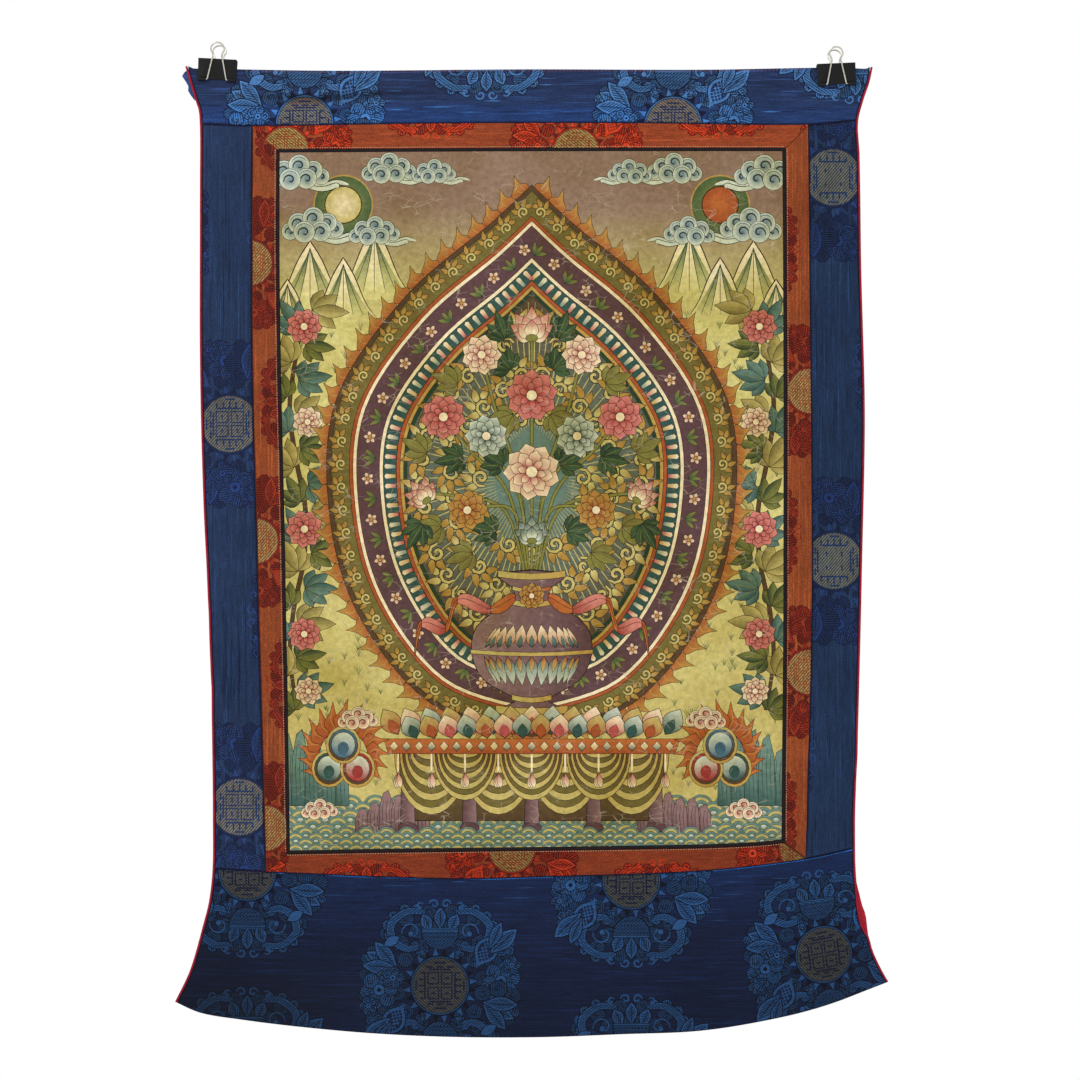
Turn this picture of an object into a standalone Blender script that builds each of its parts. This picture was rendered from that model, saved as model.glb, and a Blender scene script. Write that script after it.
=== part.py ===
"""A thangka scroll painting in its brocade mount, hung by two binder clips.

The cloth hangs in the XZ plane and faces -Y. The origin lies midway between the places where the two
clips hang on their hooks. Sizes are in millimetres, and become metres where a mesh is made.
"""

import math

import bmesh
import bpy
from mathutils import Vector

MM = 0.001

# The outline and seams. A row line has a row for each point, as distance across and height.
TOP_EDGE = (
    (-289, -16.0), (-258, -16.6), (-157, -18.2), (0, -17.4), (145, -17.4), (258, -15.4), (290, -16.8),
)
TOP_SEAM = ((-275, -64.7), (-230, -66.4), (-65, -64.7), (100, -64.6), (236, -65.4), (277, -61.4))
CANVAS_TOP = ((-207.5, -89.0), (214.2, -87.8))
CANVAS_BOTTOM = ((-199, -674.5), (-107, -672.8), (137, -669.5), (190, -667.5), (213.4, -665.3))
BOTTOM_SEAM = (
    (-264, -689.8), (-219, -692.2), (-65, -697.6), (11, -696), (145, -691.3), (233, -681.6), (276, -672.5),
)
HEM = (
    (-297, -803.9), (-275, -812.6), (-241, -817.3), (-190, -822.4), (-123, -827.4), (-56, -829.9),
    (11, -829.9), (78, -827.6), (145, -825.0), (212, -815.4), (253, -806.1), (294, -792.6), (306, -788.5),
)

# A column line has a row for each point, as height and distance across.
OUTER_LEFT = (
    (-804, -296.8), (-777, -283.9), (-737, -272.2), (-717, -267.2), (-690, -264.2), (-650, -263.8),
    (-582, -264.6), (-515, -266.3), (-448, -268.8), (-380, -272.2), (-246, -275.0), (-110, -274.6),
    (-56, -275.2), (-43, -279.0), (-30, -283.0), (-16, -287.0),
)
SEAM_LEFT = ((-692, -219.2), (-465, -225.3), (-250, -230.7), (-66, -230.5))
CANVAS_LEFT = ((-674, -198.7), (-448, -202.4), (-212, -207.3), (-89, -207.5))
CANVAS_RIGHT = ((-665, 213.4), (-465, 215.0), (-212, 215.0), (-88, 214.2))
SEAM_RIGHT = ((-682, 233.8), (-465, 239.0), (-246, 237.7), (-65, 236.0))
OUTER_RIGHT = (
    (-789, 306.0), (-778, 299.7), (-762, 292.2), (-748, 288.0), (-741, 283.5), (-724, 279.5), (-705, 277.4),
    (-690, 276.2), (-650, 275.7), (-582, 278.0), (-448, 281.4), (-313, 283.9), (-180, 280.8), (-90, 279.3),
    (-63, 278.0), (-43, 283.0), (-30, 287.5), (-16, 290.5),
)
# The red back cloth stands proud of the brocade at the lower right, between these heights.
LINING_RIGHT = (
    (-789, 305.6), (-762, 291.8), (-748, 288.2), (-741, 287.2), (-730, 285.6), (-722, 282.6), (-712, 280.0),
    (-700, 277.2), (-650, 275.3), (-582, 277.6), (-448, 281.0), (-313, 283.5), (-180, 280.4), (-90, 278.9),
    (-63, 277.6), (-43, 282.6),
)
# The back layer of the rod pocket sticks out past the front at the upper left corner.
FLAP_LEFT = (
    (-44.5, -279.5), (-41, -282.2), (-35.2, -285.4), (-32.5, -284.6), (-23.4, -290.0), (-16, -287.6),
)
FLAP_RIGHT = ((-44.5, 281.6), (-30, 286.6), (-16, 289.6))

BROCADE_THICKNESS = 1.2
LINING_THICKNESS = 1.0
PIPING_THICKNESS = 1.6
GAP = 0.3
LAYER_GAP = 0.4
BINDING_WIDTH = 1.8
PIPING_WIDTH = 2.4
# Each side of a mitre stands back by this share of the gap, along its own strip.
MITRE_SHARE = 0.75
FLAP_END = -44.5
LINING_TOP = -36.0
LINING_HEM_INSET = 1.0
FOLD_STEPS = 6

# How far each layer's middle lies behind the middle of the whole cloth. The lining is at the middle.
LAYER_STEP = LINING_THICKNESS / 2 + LAYER_GAP + BROCADE_THICKNESS / 2
FRONT_LAYER = -LAYER_STEP
FLAP_LAYER = LAYER_STEP

# Steps of the grid between one line and the next, shared by every layer so that the layers stay parallel.
SIDE_STEPS = 3
CANVAS_ACROSS_STEPS = 12
TOP_STEPS = 6
CANVAS_DOWN_STEPS = 22
BOTTOM_STEPS = 8

# The cloth's depth. The pocket band is held flat by the clips; below it the cloth bellies and curls.
FLAT_BAND_END = -45.0
FLAT_BAND_BLEND = 30.0
BLEND_START = FLAT_BAND_END + 12.0
HEM_LEVEL = -830.0
TOP_BOW_RISE = 4.0
TOP_BOW_HALF_WIDTH = 235.0
BELLY_RISE = 6.0
SIDE_CURL = 7.0
SIDE_REACH = 285.0
LOWER_START = -640.0
LOWER_RISE = 12.0
CORNER_START = 130.0
CORNER_REACH = 176.0
RIGHT_CORNER_CURL = 36.0
LEFT_CORNER_CURL = 20.0
# Waves left by storing it rolled: middle height, half width, rise at the left side, rise at the right side.
ROLL_WAVES = (
    (-128, 30, 1.5, 0.6),
    (-205, 34, -1.2, -0.6),
    (-300, 38, 0.7, 1.8),
    (-392, 36, -1.6, -0.5),
    (-477, 30, 1.9, 0.9),
    (-541, 26, -1.7, 0.4),
    (-604, 28, 0.6, -1.8),
    (-652, 26, 1.2, 1.4),
    (-745, 34, -1.4, 1.6),
)
# Creases: middle across, middle height, half length, half width, lean in degrees, rise.
CREASES = (
    (-162, -43, 52, 8, 1, -2.0),
    (60, -41, 80, 9, -1, 1.6),
    (-252, -478, 24, 13, 3, -2.4),
    (-252, -541, 26, 13, -2, -2.6),
    (261, -598, 26, 12, 30, 3.4),
    (250, -651, 22, 12, 31, -3.0),
    (268, -738, 36, 20, -64, -3.0),
    (-150, -770, 70, 26, 12, -3.0),
    (120, -775, 60, 24, -16, 3.6),
)

# Binder clips: name, middle across, pin axis height, tilt in degrees.
CLIPS = (
    ("clip_left", -260.4, -27.8, 3.0),
    ("clip_right", 260.0, -31.5, -2.3),
)
CLIP_WIDTH = 32.0
STEEL = 0.6
NOTCH_HALF_WIDTH = 9.0
SHARP_BEND_DEG = 35
ROLL_RADIUS = 1.4
ROLL_START_DEG = 180
ROLL_SWEEP_DEG = 260
ROLL_STEPS = 10
SPINE_HALF_WIDTH = 6.5
SPINE_HEIGHT = 17.0
SPINE_BEND = 0.7
LIP_OFFSET = FLAP_LAYER + BROCADE_THICKNESS / 2 + GAP + STEEL / 2
PIN_OFFSET = LIP_OFFSET + ROLL_RADIUS

# The wire handle, in its own plane: half distance across, and distance along from the pin.
WIRE_RADIUS = 0.7
PIN_END = 15.0
PIN_BEND_RADIUS = 1.2
PIN_BEND_STEPS = 3
LEG = ((7.75, 1.2), (6.1, 9.0), (4.3, 17.6), (3.75, 20.2), (4.35, 22.6), (5.2, 24.0))
LOOP_RADIUS = 5.6
LOOP_MIDDLE = 25.5
LOOP_STEPS = 14

COLLECTION = "thangka_scroll"
MEETING_ROUNDS = 30
SLOPE_STEP = 0.5


def clear_scene():
    for obj in list(bpy.data.objects):
        bpy.data.objects.remove(obj)


def material(name, colour, roughness, metallic=0.0):
    made = bpy.data.materials.new(name)
    made.use_nodes = True
    shader = made.node_tree.nodes["Principled BSDF"]
    shader.inputs["Base Color"].default_value = (*colour, 1.0)
    shader.inputs["Roughness"].default_value = roughness
    shader.inputs["Metallic"].default_value = metallic
    return made


def smooth_line(rows, shift=0.0):
    """A smooth curve through rows of (place, value), moved by shift, straight on past its ends."""
    rows = sorted(rows)
    slopes = []
    for i in range(len(rows)):
        before = rows[max(i - 1, 0)]
        after = rows[min(i + 1, len(rows) - 1)]
        slopes.append((after[1] - before[1]) / (after[0] - before[0]))

    def value(place):
        if place <= rows[0][0]:
            return rows[0][1] + slopes[0] * (place - rows[0][0]) + shift
        if place >= rows[-1][0]:
            return rows[-1][1] + slopes[-1] * (place - rows[-1][0]) + shift
        i = max(k for k in range(len(rows) - 1) if rows[k][0] <= place)
        span = rows[i + 1][0] - rows[i][0]
        t = (place - rows[i][0]) / span
        start = (2 * t**3 - 3 * t**2 + 1) * rows[i][1] + (t**3 - 2 * t**2 + t) * span * slopes[i]
        end = (3 * t**2 - 2 * t**3) * rows[i + 1][1] + (t**3 - t**2) * span * slopes[i + 1]
        return start + end + shift

    return value


def meeting(row_line, column_line):
    """The point (across, height) where a row line crosses a column line."""
    height = row_line(0.0)
    for _ in range(MEETING_ROUNDS):
        across = column_line(height)
        height = row_line(across)
    return across, height


def patch_point(row_above, row_below, column_before, column_after, s, t):
    """A point of the four-sided patch between two row lines and two column lines."""
    corners = {}
    for name, row in (("above", row_above), ("below", row_below)):
        for side, column in (("before", column_before), ("after", column_after)):
            corners[name, side] = Vector(meeting(row, column))

    def on_row(line, start, end):
        across = start.x + (end.x - start.x) * s
        return Vector((across, line(across)))

    def on_column(line, start, end):
        height = start.y + (end.y - start.y) * t
        return Vector((line(height), height))

    above = on_row(row_above, corners["above", "before"], corners["above", "after"])
    below = on_row(row_below, corners["below", "before"], corners["below", "after"])
    before = on_column(column_before, corners["above", "before"], corners["below", "before"])
    after = on_column(column_after, corners["above", "after"], corners["below", "after"])
    flat_above = corners["above", "before"].lerp(corners["above", "after"], s)
    flat_below = corners["below", "before"].lerp(corners["below", "after"], s)
    return above.lerp(below, t) + before.lerp(after, s) - flat_above.lerp(flat_below, t)


def lattice(row_lines, row_steps, column_lines, column_steps):
    """Rows of flat points: the grid that the lines and the steps between them make."""
    grid = []
    for j, steps_down in enumerate(row_steps):
        last_down = j == len(row_steps) - 1
        for k in range(steps_down + last_down):
            row = []
            for i, steps_across in enumerate(column_steps):
                last_across = i == len(column_steps) - 1
                for m in range(steps_across + last_across):
                    ends = (row_lines[j], row_lines[j + 1], column_lines[i], column_lines[i + 1])
                    row.append(patch_point(*ends, m / steps_across, k / steps_down))
            grid.append(row)
    return grid


def soft_step(value):
    value = min(max(value, 0.0), 1.0)
    return value * value * (3 - 2 * value)


def forward(across, height):
    """How far the cloth stands towards the viewer."""
    drop = min(max((FLAT_BAND_END - height) / (FLAT_BAND_END - HEM_LEVEL), 0.0), 1.0)
    middle = math.cos(min(abs(across) / TOP_BOW_HALF_WIDTH, 1.0) * math.pi / 2) ** 2
    bulge = math.sin(math.pi * drop)
    depth = TOP_BOW_RISE * middle * (1 - soft_step(2 * drop))
    depth += BELLY_RISE * bulge * math.cos(across / SIDE_REACH * math.pi / 2)
    depth -= SIDE_CURL * bulge * (across / SIDE_REACH) ** 4
    lower = soft_step((LOWER_START - height) / (LOWER_START - HEM_LEVEL))
    depth += LOWER_RISE * lower * math.cos(across / SIDE_REACH * math.pi / 2)
    right = max((across - CORNER_START) / CORNER_REACH, 0.0)
    left = max((-across - CORNER_START) / CORNER_REACH, 0.0)
    depth -= lower * (RIGHT_CORNER_CURL * right**2 + LEFT_CORNER_CURL * left**2)
    lean = min(max(across / SIDE_REACH, -1.0), 1.0) / 2 + 0.5
    for wave_height, half_width, rise_left, rise_right in ROLL_WAVES:
        rise = rise_left + (rise_right - rise_left) * lean
        depth += rise * math.exp(-(((height - wave_height) / half_width) ** 2))
    for mid_across, mid_height, half_length, half_width, lean_deg, rise in CREASES:
        turn = math.radians(lean_deg)
        x = across - mid_across
        z = height - mid_height
        along = (x * math.cos(turn) + z * math.sin(turn)) / half_length
        aside = (z * math.cos(turn) - x * math.sin(turn)) / half_width
        depth += rise * math.exp(-(along**2) - aside**2)
    held = soft_step((BLEND_START - height) / FLAT_BAND_BLEND)
    return depth * held + TOP_BOW_RISE * middle * (1 - held)


def place(across, height, layer):
    """A point of the hung cloth in millimetres, layer millimetres behind its middle surface."""
    span = 2 * SLOPE_STEP
    slope_across = (forward(across + SLOPE_STEP, height) - forward(across - SLOPE_STEP, height)) / span
    slope_up = (forward(across, height + SLOPE_STEP) - forward(across, height - SLOPE_STEP)) / span
    back = Vector((slope_across, 1.0, slope_up)).normalized()
    return Vector((across, -forward(across, height), height)) + back * layer


def sheet(name, grid, layer, thickness, finish, end_triangles=()):
    """One cloth: a grid of flat points hung on the shared folds, given its thickness.

    Each end triangle is its apex, then the two grid points that it stands on, as (row, column).
    """
    hung = [[place(point[0], point[1], layer) for point in row] for row in grid]
    triangles = [(place(*apex, layer), first, second) for apex, first, second in end_triangles]
    return solid_sheet(name, hung, thickness, finish, triangles)


def solid_sheet(name, hung, thickness, finish, triangles=()):
    """A sheet of the given thickness on a grid of hung points, with a triangle on each apex."""
    shape = bmesh.new()
    rows = [[shape.verts.new(point * MM) for point in row] for row in hung]
    for above, below in zip(rows, rows[1:]):
        for i in range(len(above) - 1):
            shape.faces.new((above[i], below[i], below[i + 1], above[i + 1]))
    for apex, first, second in triangles:
        tip = shape.verts.new(apex * MM)
        shape.faces.new((tip, rows[first[0]][first[1]], rows[second[0]][second[1]]))
    bmesh.ops.recalc_face_normals(shape, faces=shape.faces)
    mesh = bpy.data.meshes.new(name)
    shape.to_mesh(mesh)
    shape.free()
    mesh.shade_smooth()
    obj = finished(name, mesh, finish)
    thick = obj.modifiers.new("thickness", "SOLIDIFY")
    thick.thickness = thickness * MM
    thick.offset = 0.0
    return obj


def finished(name, data, finish):
    """A new object in the scroll's collection, with its finish."""
    obj = bpy.data.objects.new(name, data)
    bpy.data.collections[COLLECTION].objects.link(obj)
    data.materials.append(finish)
    return obj


def make_canvas(finish):
    grid = lattice(
        (smooth_line(CANVAS_TOP), smooth_line(CANVAS_BOTTOM)), (CANVAS_DOWN_STEPS,),
        (smooth_line(CANVAS_LEFT), smooth_line(CANVAS_RIGHT)), (CANVAS_ACROSS_STEPS,),
    )
    sheet("painting_canvas", grid, FRONT_LAYER, BROCADE_THICKNESS, finish)


def make_piping(finish):
    """Four thin strips round the painting; the top and bottom ones take the corners."""
    near = GAP
    far = GAP + PIPING_WIDTH
    layer = FRONT_LAYER - (PIPING_THICKNESS - BROCADE_THICKNESS) / 2
    wide = (smooth_line(CANVAS_LEFT, -far), smooth_line(CANVAS_RIGHT, far))
    for name, line, sign in (("top", CANVAS_TOP, 1), ("bottom", CANVAS_BOTTOM, -1)):
        rows = [smooth_line(line, sign * far), smooth_line(line, sign * near)]
        grid = lattice(rows[::sign], (1,), wide, (CANVAS_ACROSS_STEPS,))
        sheet(f"piping_{name}", grid, layer, PIPING_THICKNESS, finish)
    tall = (smooth_line(CANVAS_TOP), smooth_line(CANVAS_BOTTOM))
    for name, line, sign in (("left", CANVAS_LEFT, -1), ("right", CANVAS_RIGHT, 1)):
        columns = [smooth_line(line, sign * near), smooth_line(line, sign * far)]
        grid = lattice(tall, (CANVAS_DOWN_STEPS,), columns[::sign], (1,))
        sheet(f"piping_{name}", grid, layer, PIPING_THICKNESS, finish)


def make_borders(finish):
    """Four orange strips whose ends are mitred: a strip of squares with a triangle at each end."""
    half = GAP / 2
    inner = PIPING_WIDTH + 2 * GAP
    mitre = GAP * MITRE_SHARE
    level = (("top", TOP_SEAM, CANVAS_TOP, 1), ("bottom", BOTTOM_SEAM, CANVAS_BOTTOM, -1))
    for name, seam, canvas, sign in level:
        rows = [smooth_line(seam, -sign * half), smooth_line(canvas, sign * inner)]
        columns = (smooth_line(CANVAS_LEFT, mitre - inner), smooth_line(CANVAS_RIGHT, inner - mitre))
        grid = lattice(rows[::sign], (1,), columns, (CANVAS_ACROSS_STEPS,))
        left = meeting(rows[0], smooth_line(SEAM_LEFT, half + mitre))
        right = meeting(rows[0], smooth_line(SEAM_RIGHT, -half - mitre))
        last = CANVAS_ACROSS_STEPS
        triangles = ((left, (0, 0), (1, 0)), (right, (1, last), (0, last)))
        sheet(f"border_{name}", grid, FRONT_LAYER, BROCADE_THICKNESS, finish, triangles)
    upright = (("left", SEAM_LEFT, CANVAS_LEFT, -1), ("right", SEAM_RIGHT, CANVAS_RIGHT, 1))
    for name, seam, canvas, sign in upright:
        columns = [smooth_line(seam, -sign * half), smooth_line(canvas, sign * inner)]
        rows = (smooth_line(CANVAS_TOP, inner - mitre), smooth_line(CANVAS_BOTTOM, mitre - inner))
        grid = lattice(rows, (CANVAS_DOWN_STEPS,), columns[::-sign], (1,))
        above = meeting(smooth_line(TOP_SEAM, -half - mitre), columns[0])
        below = meeting(smooth_line(BOTTOM_SEAM, half + mitre), columns[0])
        last = CANVAS_DOWN_STEPS
        triangles = ((above, (0, 1), (0, 0)), (below, (last, 0), (last, 1)))
        sheet(f"border_{name}", grid, FRONT_LAYER, BROCADE_THICKNESS, finish, triangles)


def make_side_brocades(finish):
    half = GAP / 2
    edge = BINDING_WIDTH + GAP
    rows = (
        smooth_line(TOP_SEAM, -half), smooth_line(CANVAS_TOP), smooth_line(CANVAS_BOTTOM),
        smooth_line(BOTTOM_SEAM, half),
    )
    steps = (1, CANVAS_DOWN_STEPS, 1)
    left = (smooth_line(OUTER_LEFT, edge), smooth_line(SEAM_LEFT, -half))
    right = (smooth_line(SEAM_RIGHT, half), smooth_line(OUTER_RIGHT, -edge))
    for name, columns in (("left", left), ("right", right)):
        grid = lattice(rows, steps, columns, (SIDE_STEPS,))
        sheet(f"brocade_{name}", grid, FRONT_LAYER, BROCADE_THICKNESS, finish)


def full_columns(outer_left, outer_right):
    lines = (
        outer_left, smooth_line(SEAM_LEFT), smooth_line(CANVAS_LEFT), smooth_line(CANVAS_RIGHT),
        smooth_line(SEAM_RIGHT), outer_right,
    )
    return lines, (SIDE_STEPS, 1, CANVAS_ACROSS_STEPS, 1, SIDE_STEPS)


def make_top_brocade(finish):
    """The upper brocade runs up the front, over the top fold and down the back as the pocket's back layer."""
    edge = BINDING_WIDTH + GAP
    fold_radius = LAYER_STEP
    fold_axis = smooth_line(TOP_EDGE, -fold_radius - BROCADE_THICKNESS / 2)
    outer = (smooth_line(OUTER_LEFT, edge), smooth_line(OUTER_RIGHT, -edge))
    columns, across_steps = full_columns(*outer)
    rows = (fold_axis, smooth_line(TOP_SEAM, GAP / 2))
    front = lattice(rows, (TOP_STEPS,), columns, across_steps)
    hung = [[place(x, z, FRONT_LAYER) for x, z in row] for row in reversed(front)]
    top_row = front[0]
    for k in range(1, FOLD_STEPS):
        angle = math.pi * k / FOLD_STEPS
        rise = Vector((0, -fold_radius * math.cos(angle), fold_radius * math.sin(angle)))
        hung.append([place(x, z, 0.0) + rise for x, z in top_row])
    flap_left = smooth_line(FLAP_LEFT)
    flap_right = smooth_line(FLAP_RIGHT)
    start, end = top_row[0].x, top_row[-1].x
    for k in range(TOP_STEPS):
        row = []
        for x, z in top_row:
            height = z + (FLAP_END - z) * k / (TOP_STEPS - 1)
            share = (x - start) / (end - start)
            spread = flap_left(height) + (flap_right(height) - flap_left(height)) * share
            row.append(place(spread if k else x, height, FLAP_LAYER))
        hung.append(row)
    solid_sheet("brocade_top", hung, BROCADE_THICKNESS, finish)


def make_bottom_brocade(finish):
    edge = BINDING_WIDTH + GAP
    outer = (smooth_line(OUTER_LEFT, edge), smooth_line(OUTER_RIGHT, -edge))
    columns, across_steps = full_columns(*outer)
    rows = (smooth_line(BOTTOM_SEAM, -GAP / 2), smooth_line(HEM))
    grid = lattice(rows, (BOTTOM_STEPS,), columns, across_steps)
    sheet("brocade_bottom", grid, FRONT_LAYER, BROCADE_THICKNESS, finish)


def make_bindings(finish):
    """The red edging down each outer side, beside the three brocades that it edges."""
    rows = (
        smooth_line(TOP_EDGE, -GAP), smooth_line(TOP_SEAM), smooth_line(CANVAS_TOP),
        smooth_line(CANVAS_BOTTOM), smooth_line(BOTTOM_SEAM), smooth_line(HEM),
    )
    steps = (TOP_STEPS, 1, CANVAS_DOWN_STEPS, 1, BOTTOM_STEPS)
    left = (smooth_line(OUTER_LEFT), smooth_line(OUTER_LEFT, BINDING_WIDTH))
    right = (smooth_line(OUTER_RIGHT, -BINDING_WIDTH), smooth_line(OUTER_RIGHT))
    for name, columns in (("left", left), ("right", right)):
        grid = lattice(rows, steps, columns, (1,))
        sheet(f"edge_binding_{name}", grid, FRONT_LAYER, BROCADE_THICKNESS, finish)


def make_lining(finish):
    """The red back cloth, tucked into the pocket at its top."""
    columns, across_steps = full_columns(smooth_line(OUTER_LEFT, GAP), smooth_line(LINING_RIGHT))
    rows = (
        lambda across: LINING_TOP, smooth_line(TOP_SEAM), smooth_line(CANVAS_TOP),
        smooth_line(CANVAS_BOTTOM), smooth_line(BOTTOM_SEAM), smooth_line(HEM, LINING_HEM_INSET),
    )
    steps = (TOP_STEPS // 2, 1, CANVAS_DOWN_STEPS, 1, BOTTOM_STEPS)
    sheet("lining", lattice(rows, steps, columns, across_steps), 0.0, LINING_THICKNESS, finish)


def clip_profile():
    """Half of the clip's section, as outward distance and height: curled lip, side, then spine."""
    points = []
    for k in range(ROLL_STEPS, -1, -1):
        angle = math.radians(ROLL_START_DEG + ROLL_SWEEP_DEG * k / ROLL_STEPS)
        points.append((PIN_OFFSET + ROLL_RADIUS * math.cos(angle), ROLL_RADIUS * math.sin(angle)))
    lean = (SPINE_HALF_WIDTH - LIP_OFFSET) / SPINE_HEIGHT
    points.append((SPINE_HALF_WIDTH - SPINE_BEND * lean, SPINE_HEIGHT - SPINE_BEND))
    points.append((SPINE_HALF_WIDTH - SPINE_BEND, SPINE_HEIGHT))
    return points


def make_clip_body(name, finish):
    """Spring steel bent round the spine, its lips curled round the pins and notched for the wire legs."""
    half = clip_profile()
    section = [(-out, up) for out, up in half] + [(out, up) for out, up in reversed(half)]
    stations = (-CLIP_WIDTH / 2, -NOTCH_HALF_WIDTH, NOTCH_HALF_WIDTH, CLIP_WIDTH / 2)
    shape = bmesh.new()
    rows = [[shape.verts.new(Vector((x, y, z)) * MM) for x in stations] for y, z in section]
    for k, (one, two) in enumerate(zip(rows, rows[1:])):
        curled = k < ROLL_STEPS or k >= len(section) - 1 - ROLL_STEPS
        for i in range(len(stations) - 1):
            if not (curled and i == 1):
                shape.faces.new((one[i], one[i + 1], two[i + 1], two[i]))
    loose = [vert for vert in shape.verts if not vert.link_faces]
    bmesh.ops.delete(shape, geom=loose, context="VERTS")
    bmesh.ops.recalc_face_normals(shape, faces=shape.faces)
    mesh = bpy.data.meshes.new(name)
    shape.to_mesh(mesh)
    shape.free()
    mesh.shade_smooth()
    mesh.set_sharp_from_angle(angle=math.radians(SHARP_BEND_DEG))
    obj = finished(name, mesh, finish)
    thick = obj.modifiers.new("thickness", "SOLIDIFY")
    thick.thickness = STEEL * MM
    thick.offset = 0.0
    thick.use_even_offset = True
    return obj


def handle_path():
    """Half of the wire's middle line, from its pin's end to the top of its loop: across, and along."""
    points = [(PIN_END, 0.0)]
    corner = LEG[0][0] + PIN_BEND_RADIUS
    for k in range(PIN_BEND_STEPS):
        angle = math.pi / 2 * k / PIN_BEND_STEPS
        points.append((corner - PIN_BEND_RADIUS * math.sin(angle), PIN_BEND_RADIUS * (1 - math.cos(angle))))
    points.extend(LEG)
    for k in range(LOOP_STEPS // 2 + 1):
        angle = math.pi / 2 * k / (LOOP_STEPS // 2)
        points.append((LOOP_RADIUS * math.cos(angle), LOOP_MIDDLE + LOOP_RADIUS * math.sin(angle)))
    return points


def make_handle(name, side, finish):
    """A wire handle, turned up against the clip's side. side is -1 in front and 1 behind."""
    half = handle_path()
    path = half + [(-across, along) for across, along in reversed(half[:-1])]
    lean = Vector((SPINE_HALF_WIDTH - LIP_OFFSET, SPINE_HEIGHT)).normalized()
    curve = bpy.data.curves.new(name, "CURVE")
    curve.dimensions = "3D"
    curve.bevel_depth = WIRE_RADIUS * MM
    curve.bevel_resolution = 2
    curve.use_fill_caps = True
    line = curve.splines.new("POLY")
    line.points.add(len(path) - 1)
    for point, (across, along) in zip(line.points, path):
        out = PIN_OFFSET + along * lean.x
        point.co = (across * MM, side * out * MM, along * lean.y * MM, 1.0)
    return finished(name, curve, finish)


def make_clip(name, across, pin_height, tilt_deg, black_steel, wire_steel):
    holder = bpy.data.objects.new(name, None)
    bpy.data.collections[COLLECTION].objects.link(holder)
    holder.location = (across * MM, 0.0, pin_height * MM)
    holder.rotation_euler = (0.0, math.radians(tilt_deg), 0.0)
    pieces = (
        make_clip_body(f"{name}_body", black_steel),
        make_handle(f"{name}_handle_front", -1, wire_steel),
        make_handle(f"{name}_handle_back", 1, wire_steel),
    )
    for piece in pieces:
        piece.parent = holder


def main():
    clear_scene()
    collection = bpy.data.collections.new(COLLECTION)
    bpy.context.scene.collection.children.link(collection)
    brocade = material("blue_brocade", (0.024, 0.050, 0.140), 0.5)
    border = material("orange_brocade", (0.32, 0.075, 0.02), 0.55)
    red_silk = material("red_silk", (0.36, 0.012, 0.025), 0.5)
    make_canvas(material("painted_canvas", (0.42, 0.38, 0.20), 0.8))
    make_piping(material("black_silk", (0.012, 0.012, 0.014), 0.6))
    make_borders(border)
    make_side_brocades(brocade)
    make_top_brocade(brocade)
    make_bottom_brocade(brocade)
    make_bindings(red_silk)
    make_lining(red_silk)
    black_steel = material("black_steel", (0.015, 0.015, 0.016), 0.35, 0.3)
    wire_steel = material("wire_steel", (0.62, 0.61, 0.58), 0.25, 1.0)
    for name, across, pin_height, tilt_deg in CLIPS:
        make_clip(name, across, pin_height, tilt_deg, black_steel, wire_steel)


main()
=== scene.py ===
# %% [markdown]
# # A thangka scroll painting in its brocade mount
# A thangka is a painting on cotton cloth, sewn into a mount of silk brocade so that it can hang and be
# rolled up. This one hangs from two binder clips. The solids of its pieces are loaded first, as a fixed
# frame. Every cloth is then made again here, finer, on the same folds, with its pattern drawn into it.

# %% Load the frame
import math
from contextlib import contextmanager

import bpy
import numpy as np
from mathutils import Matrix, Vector
from mathutils.bvhtree import BVHTree
from mathutils.geometry import delaunay_2d_cdt


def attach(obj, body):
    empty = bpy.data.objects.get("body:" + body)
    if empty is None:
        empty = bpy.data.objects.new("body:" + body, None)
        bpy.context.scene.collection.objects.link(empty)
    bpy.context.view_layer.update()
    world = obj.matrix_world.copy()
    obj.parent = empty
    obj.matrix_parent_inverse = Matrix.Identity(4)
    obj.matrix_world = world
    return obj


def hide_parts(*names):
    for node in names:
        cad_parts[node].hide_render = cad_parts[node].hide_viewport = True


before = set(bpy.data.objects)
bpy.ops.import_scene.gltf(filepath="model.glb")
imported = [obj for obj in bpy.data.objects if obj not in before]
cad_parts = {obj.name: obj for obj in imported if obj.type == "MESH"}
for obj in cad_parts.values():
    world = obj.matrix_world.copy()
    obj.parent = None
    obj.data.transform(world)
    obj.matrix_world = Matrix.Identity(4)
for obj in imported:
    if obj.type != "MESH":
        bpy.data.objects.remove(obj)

bpy.ops.object.select_all(action="DESELECT")
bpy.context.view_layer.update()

# %% [markdown]
# ## Camera, light and floor
# The photo was taken straight on. Its clips are 32 mm wide and span 38 of its 1080 pixels, so the whole
# picture is 907 mm wide at the cloth. A long lens far away keeps the sides parallel, as they are there.

# %% Camera
MM = 0.001
PIXEL_MM = 0.84
PHOTO_PIXELS = 1080
ORIGIN_PIXEL = (527, 47)
CAMERA_DISTANCE = 3.2
SENSOR_MM = 36.0

camera_data = bpy.data.cameras.new("camera")
camera_data.sensor_width = SENSOR_MM
camera_data.lens = SENSOR_MM * CAMERA_DISTANCE / (PHOTO_PIXELS * PIXEL_MM * MM)
camera = bpy.data.objects.new("camera", camera_data)
bpy.context.scene.collection.objects.link(camera)
camera.location = (
    (PHOTO_PIXELS / 2 - ORIGIN_PIXEL[0]) * PIXEL_MM * MM,
    -CAMERA_DISTANCE,
    (ORIGIN_PIXEL[1] - PHOTO_PIXELS / 2) * PIXEL_MM * MM,
)
camera.rotation_euler = (math.radians(90), 0.0, 0.0)
bpy.context.scene.camera = camera
print("lens", round(camera_data.lens, 1), "mm")

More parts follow.
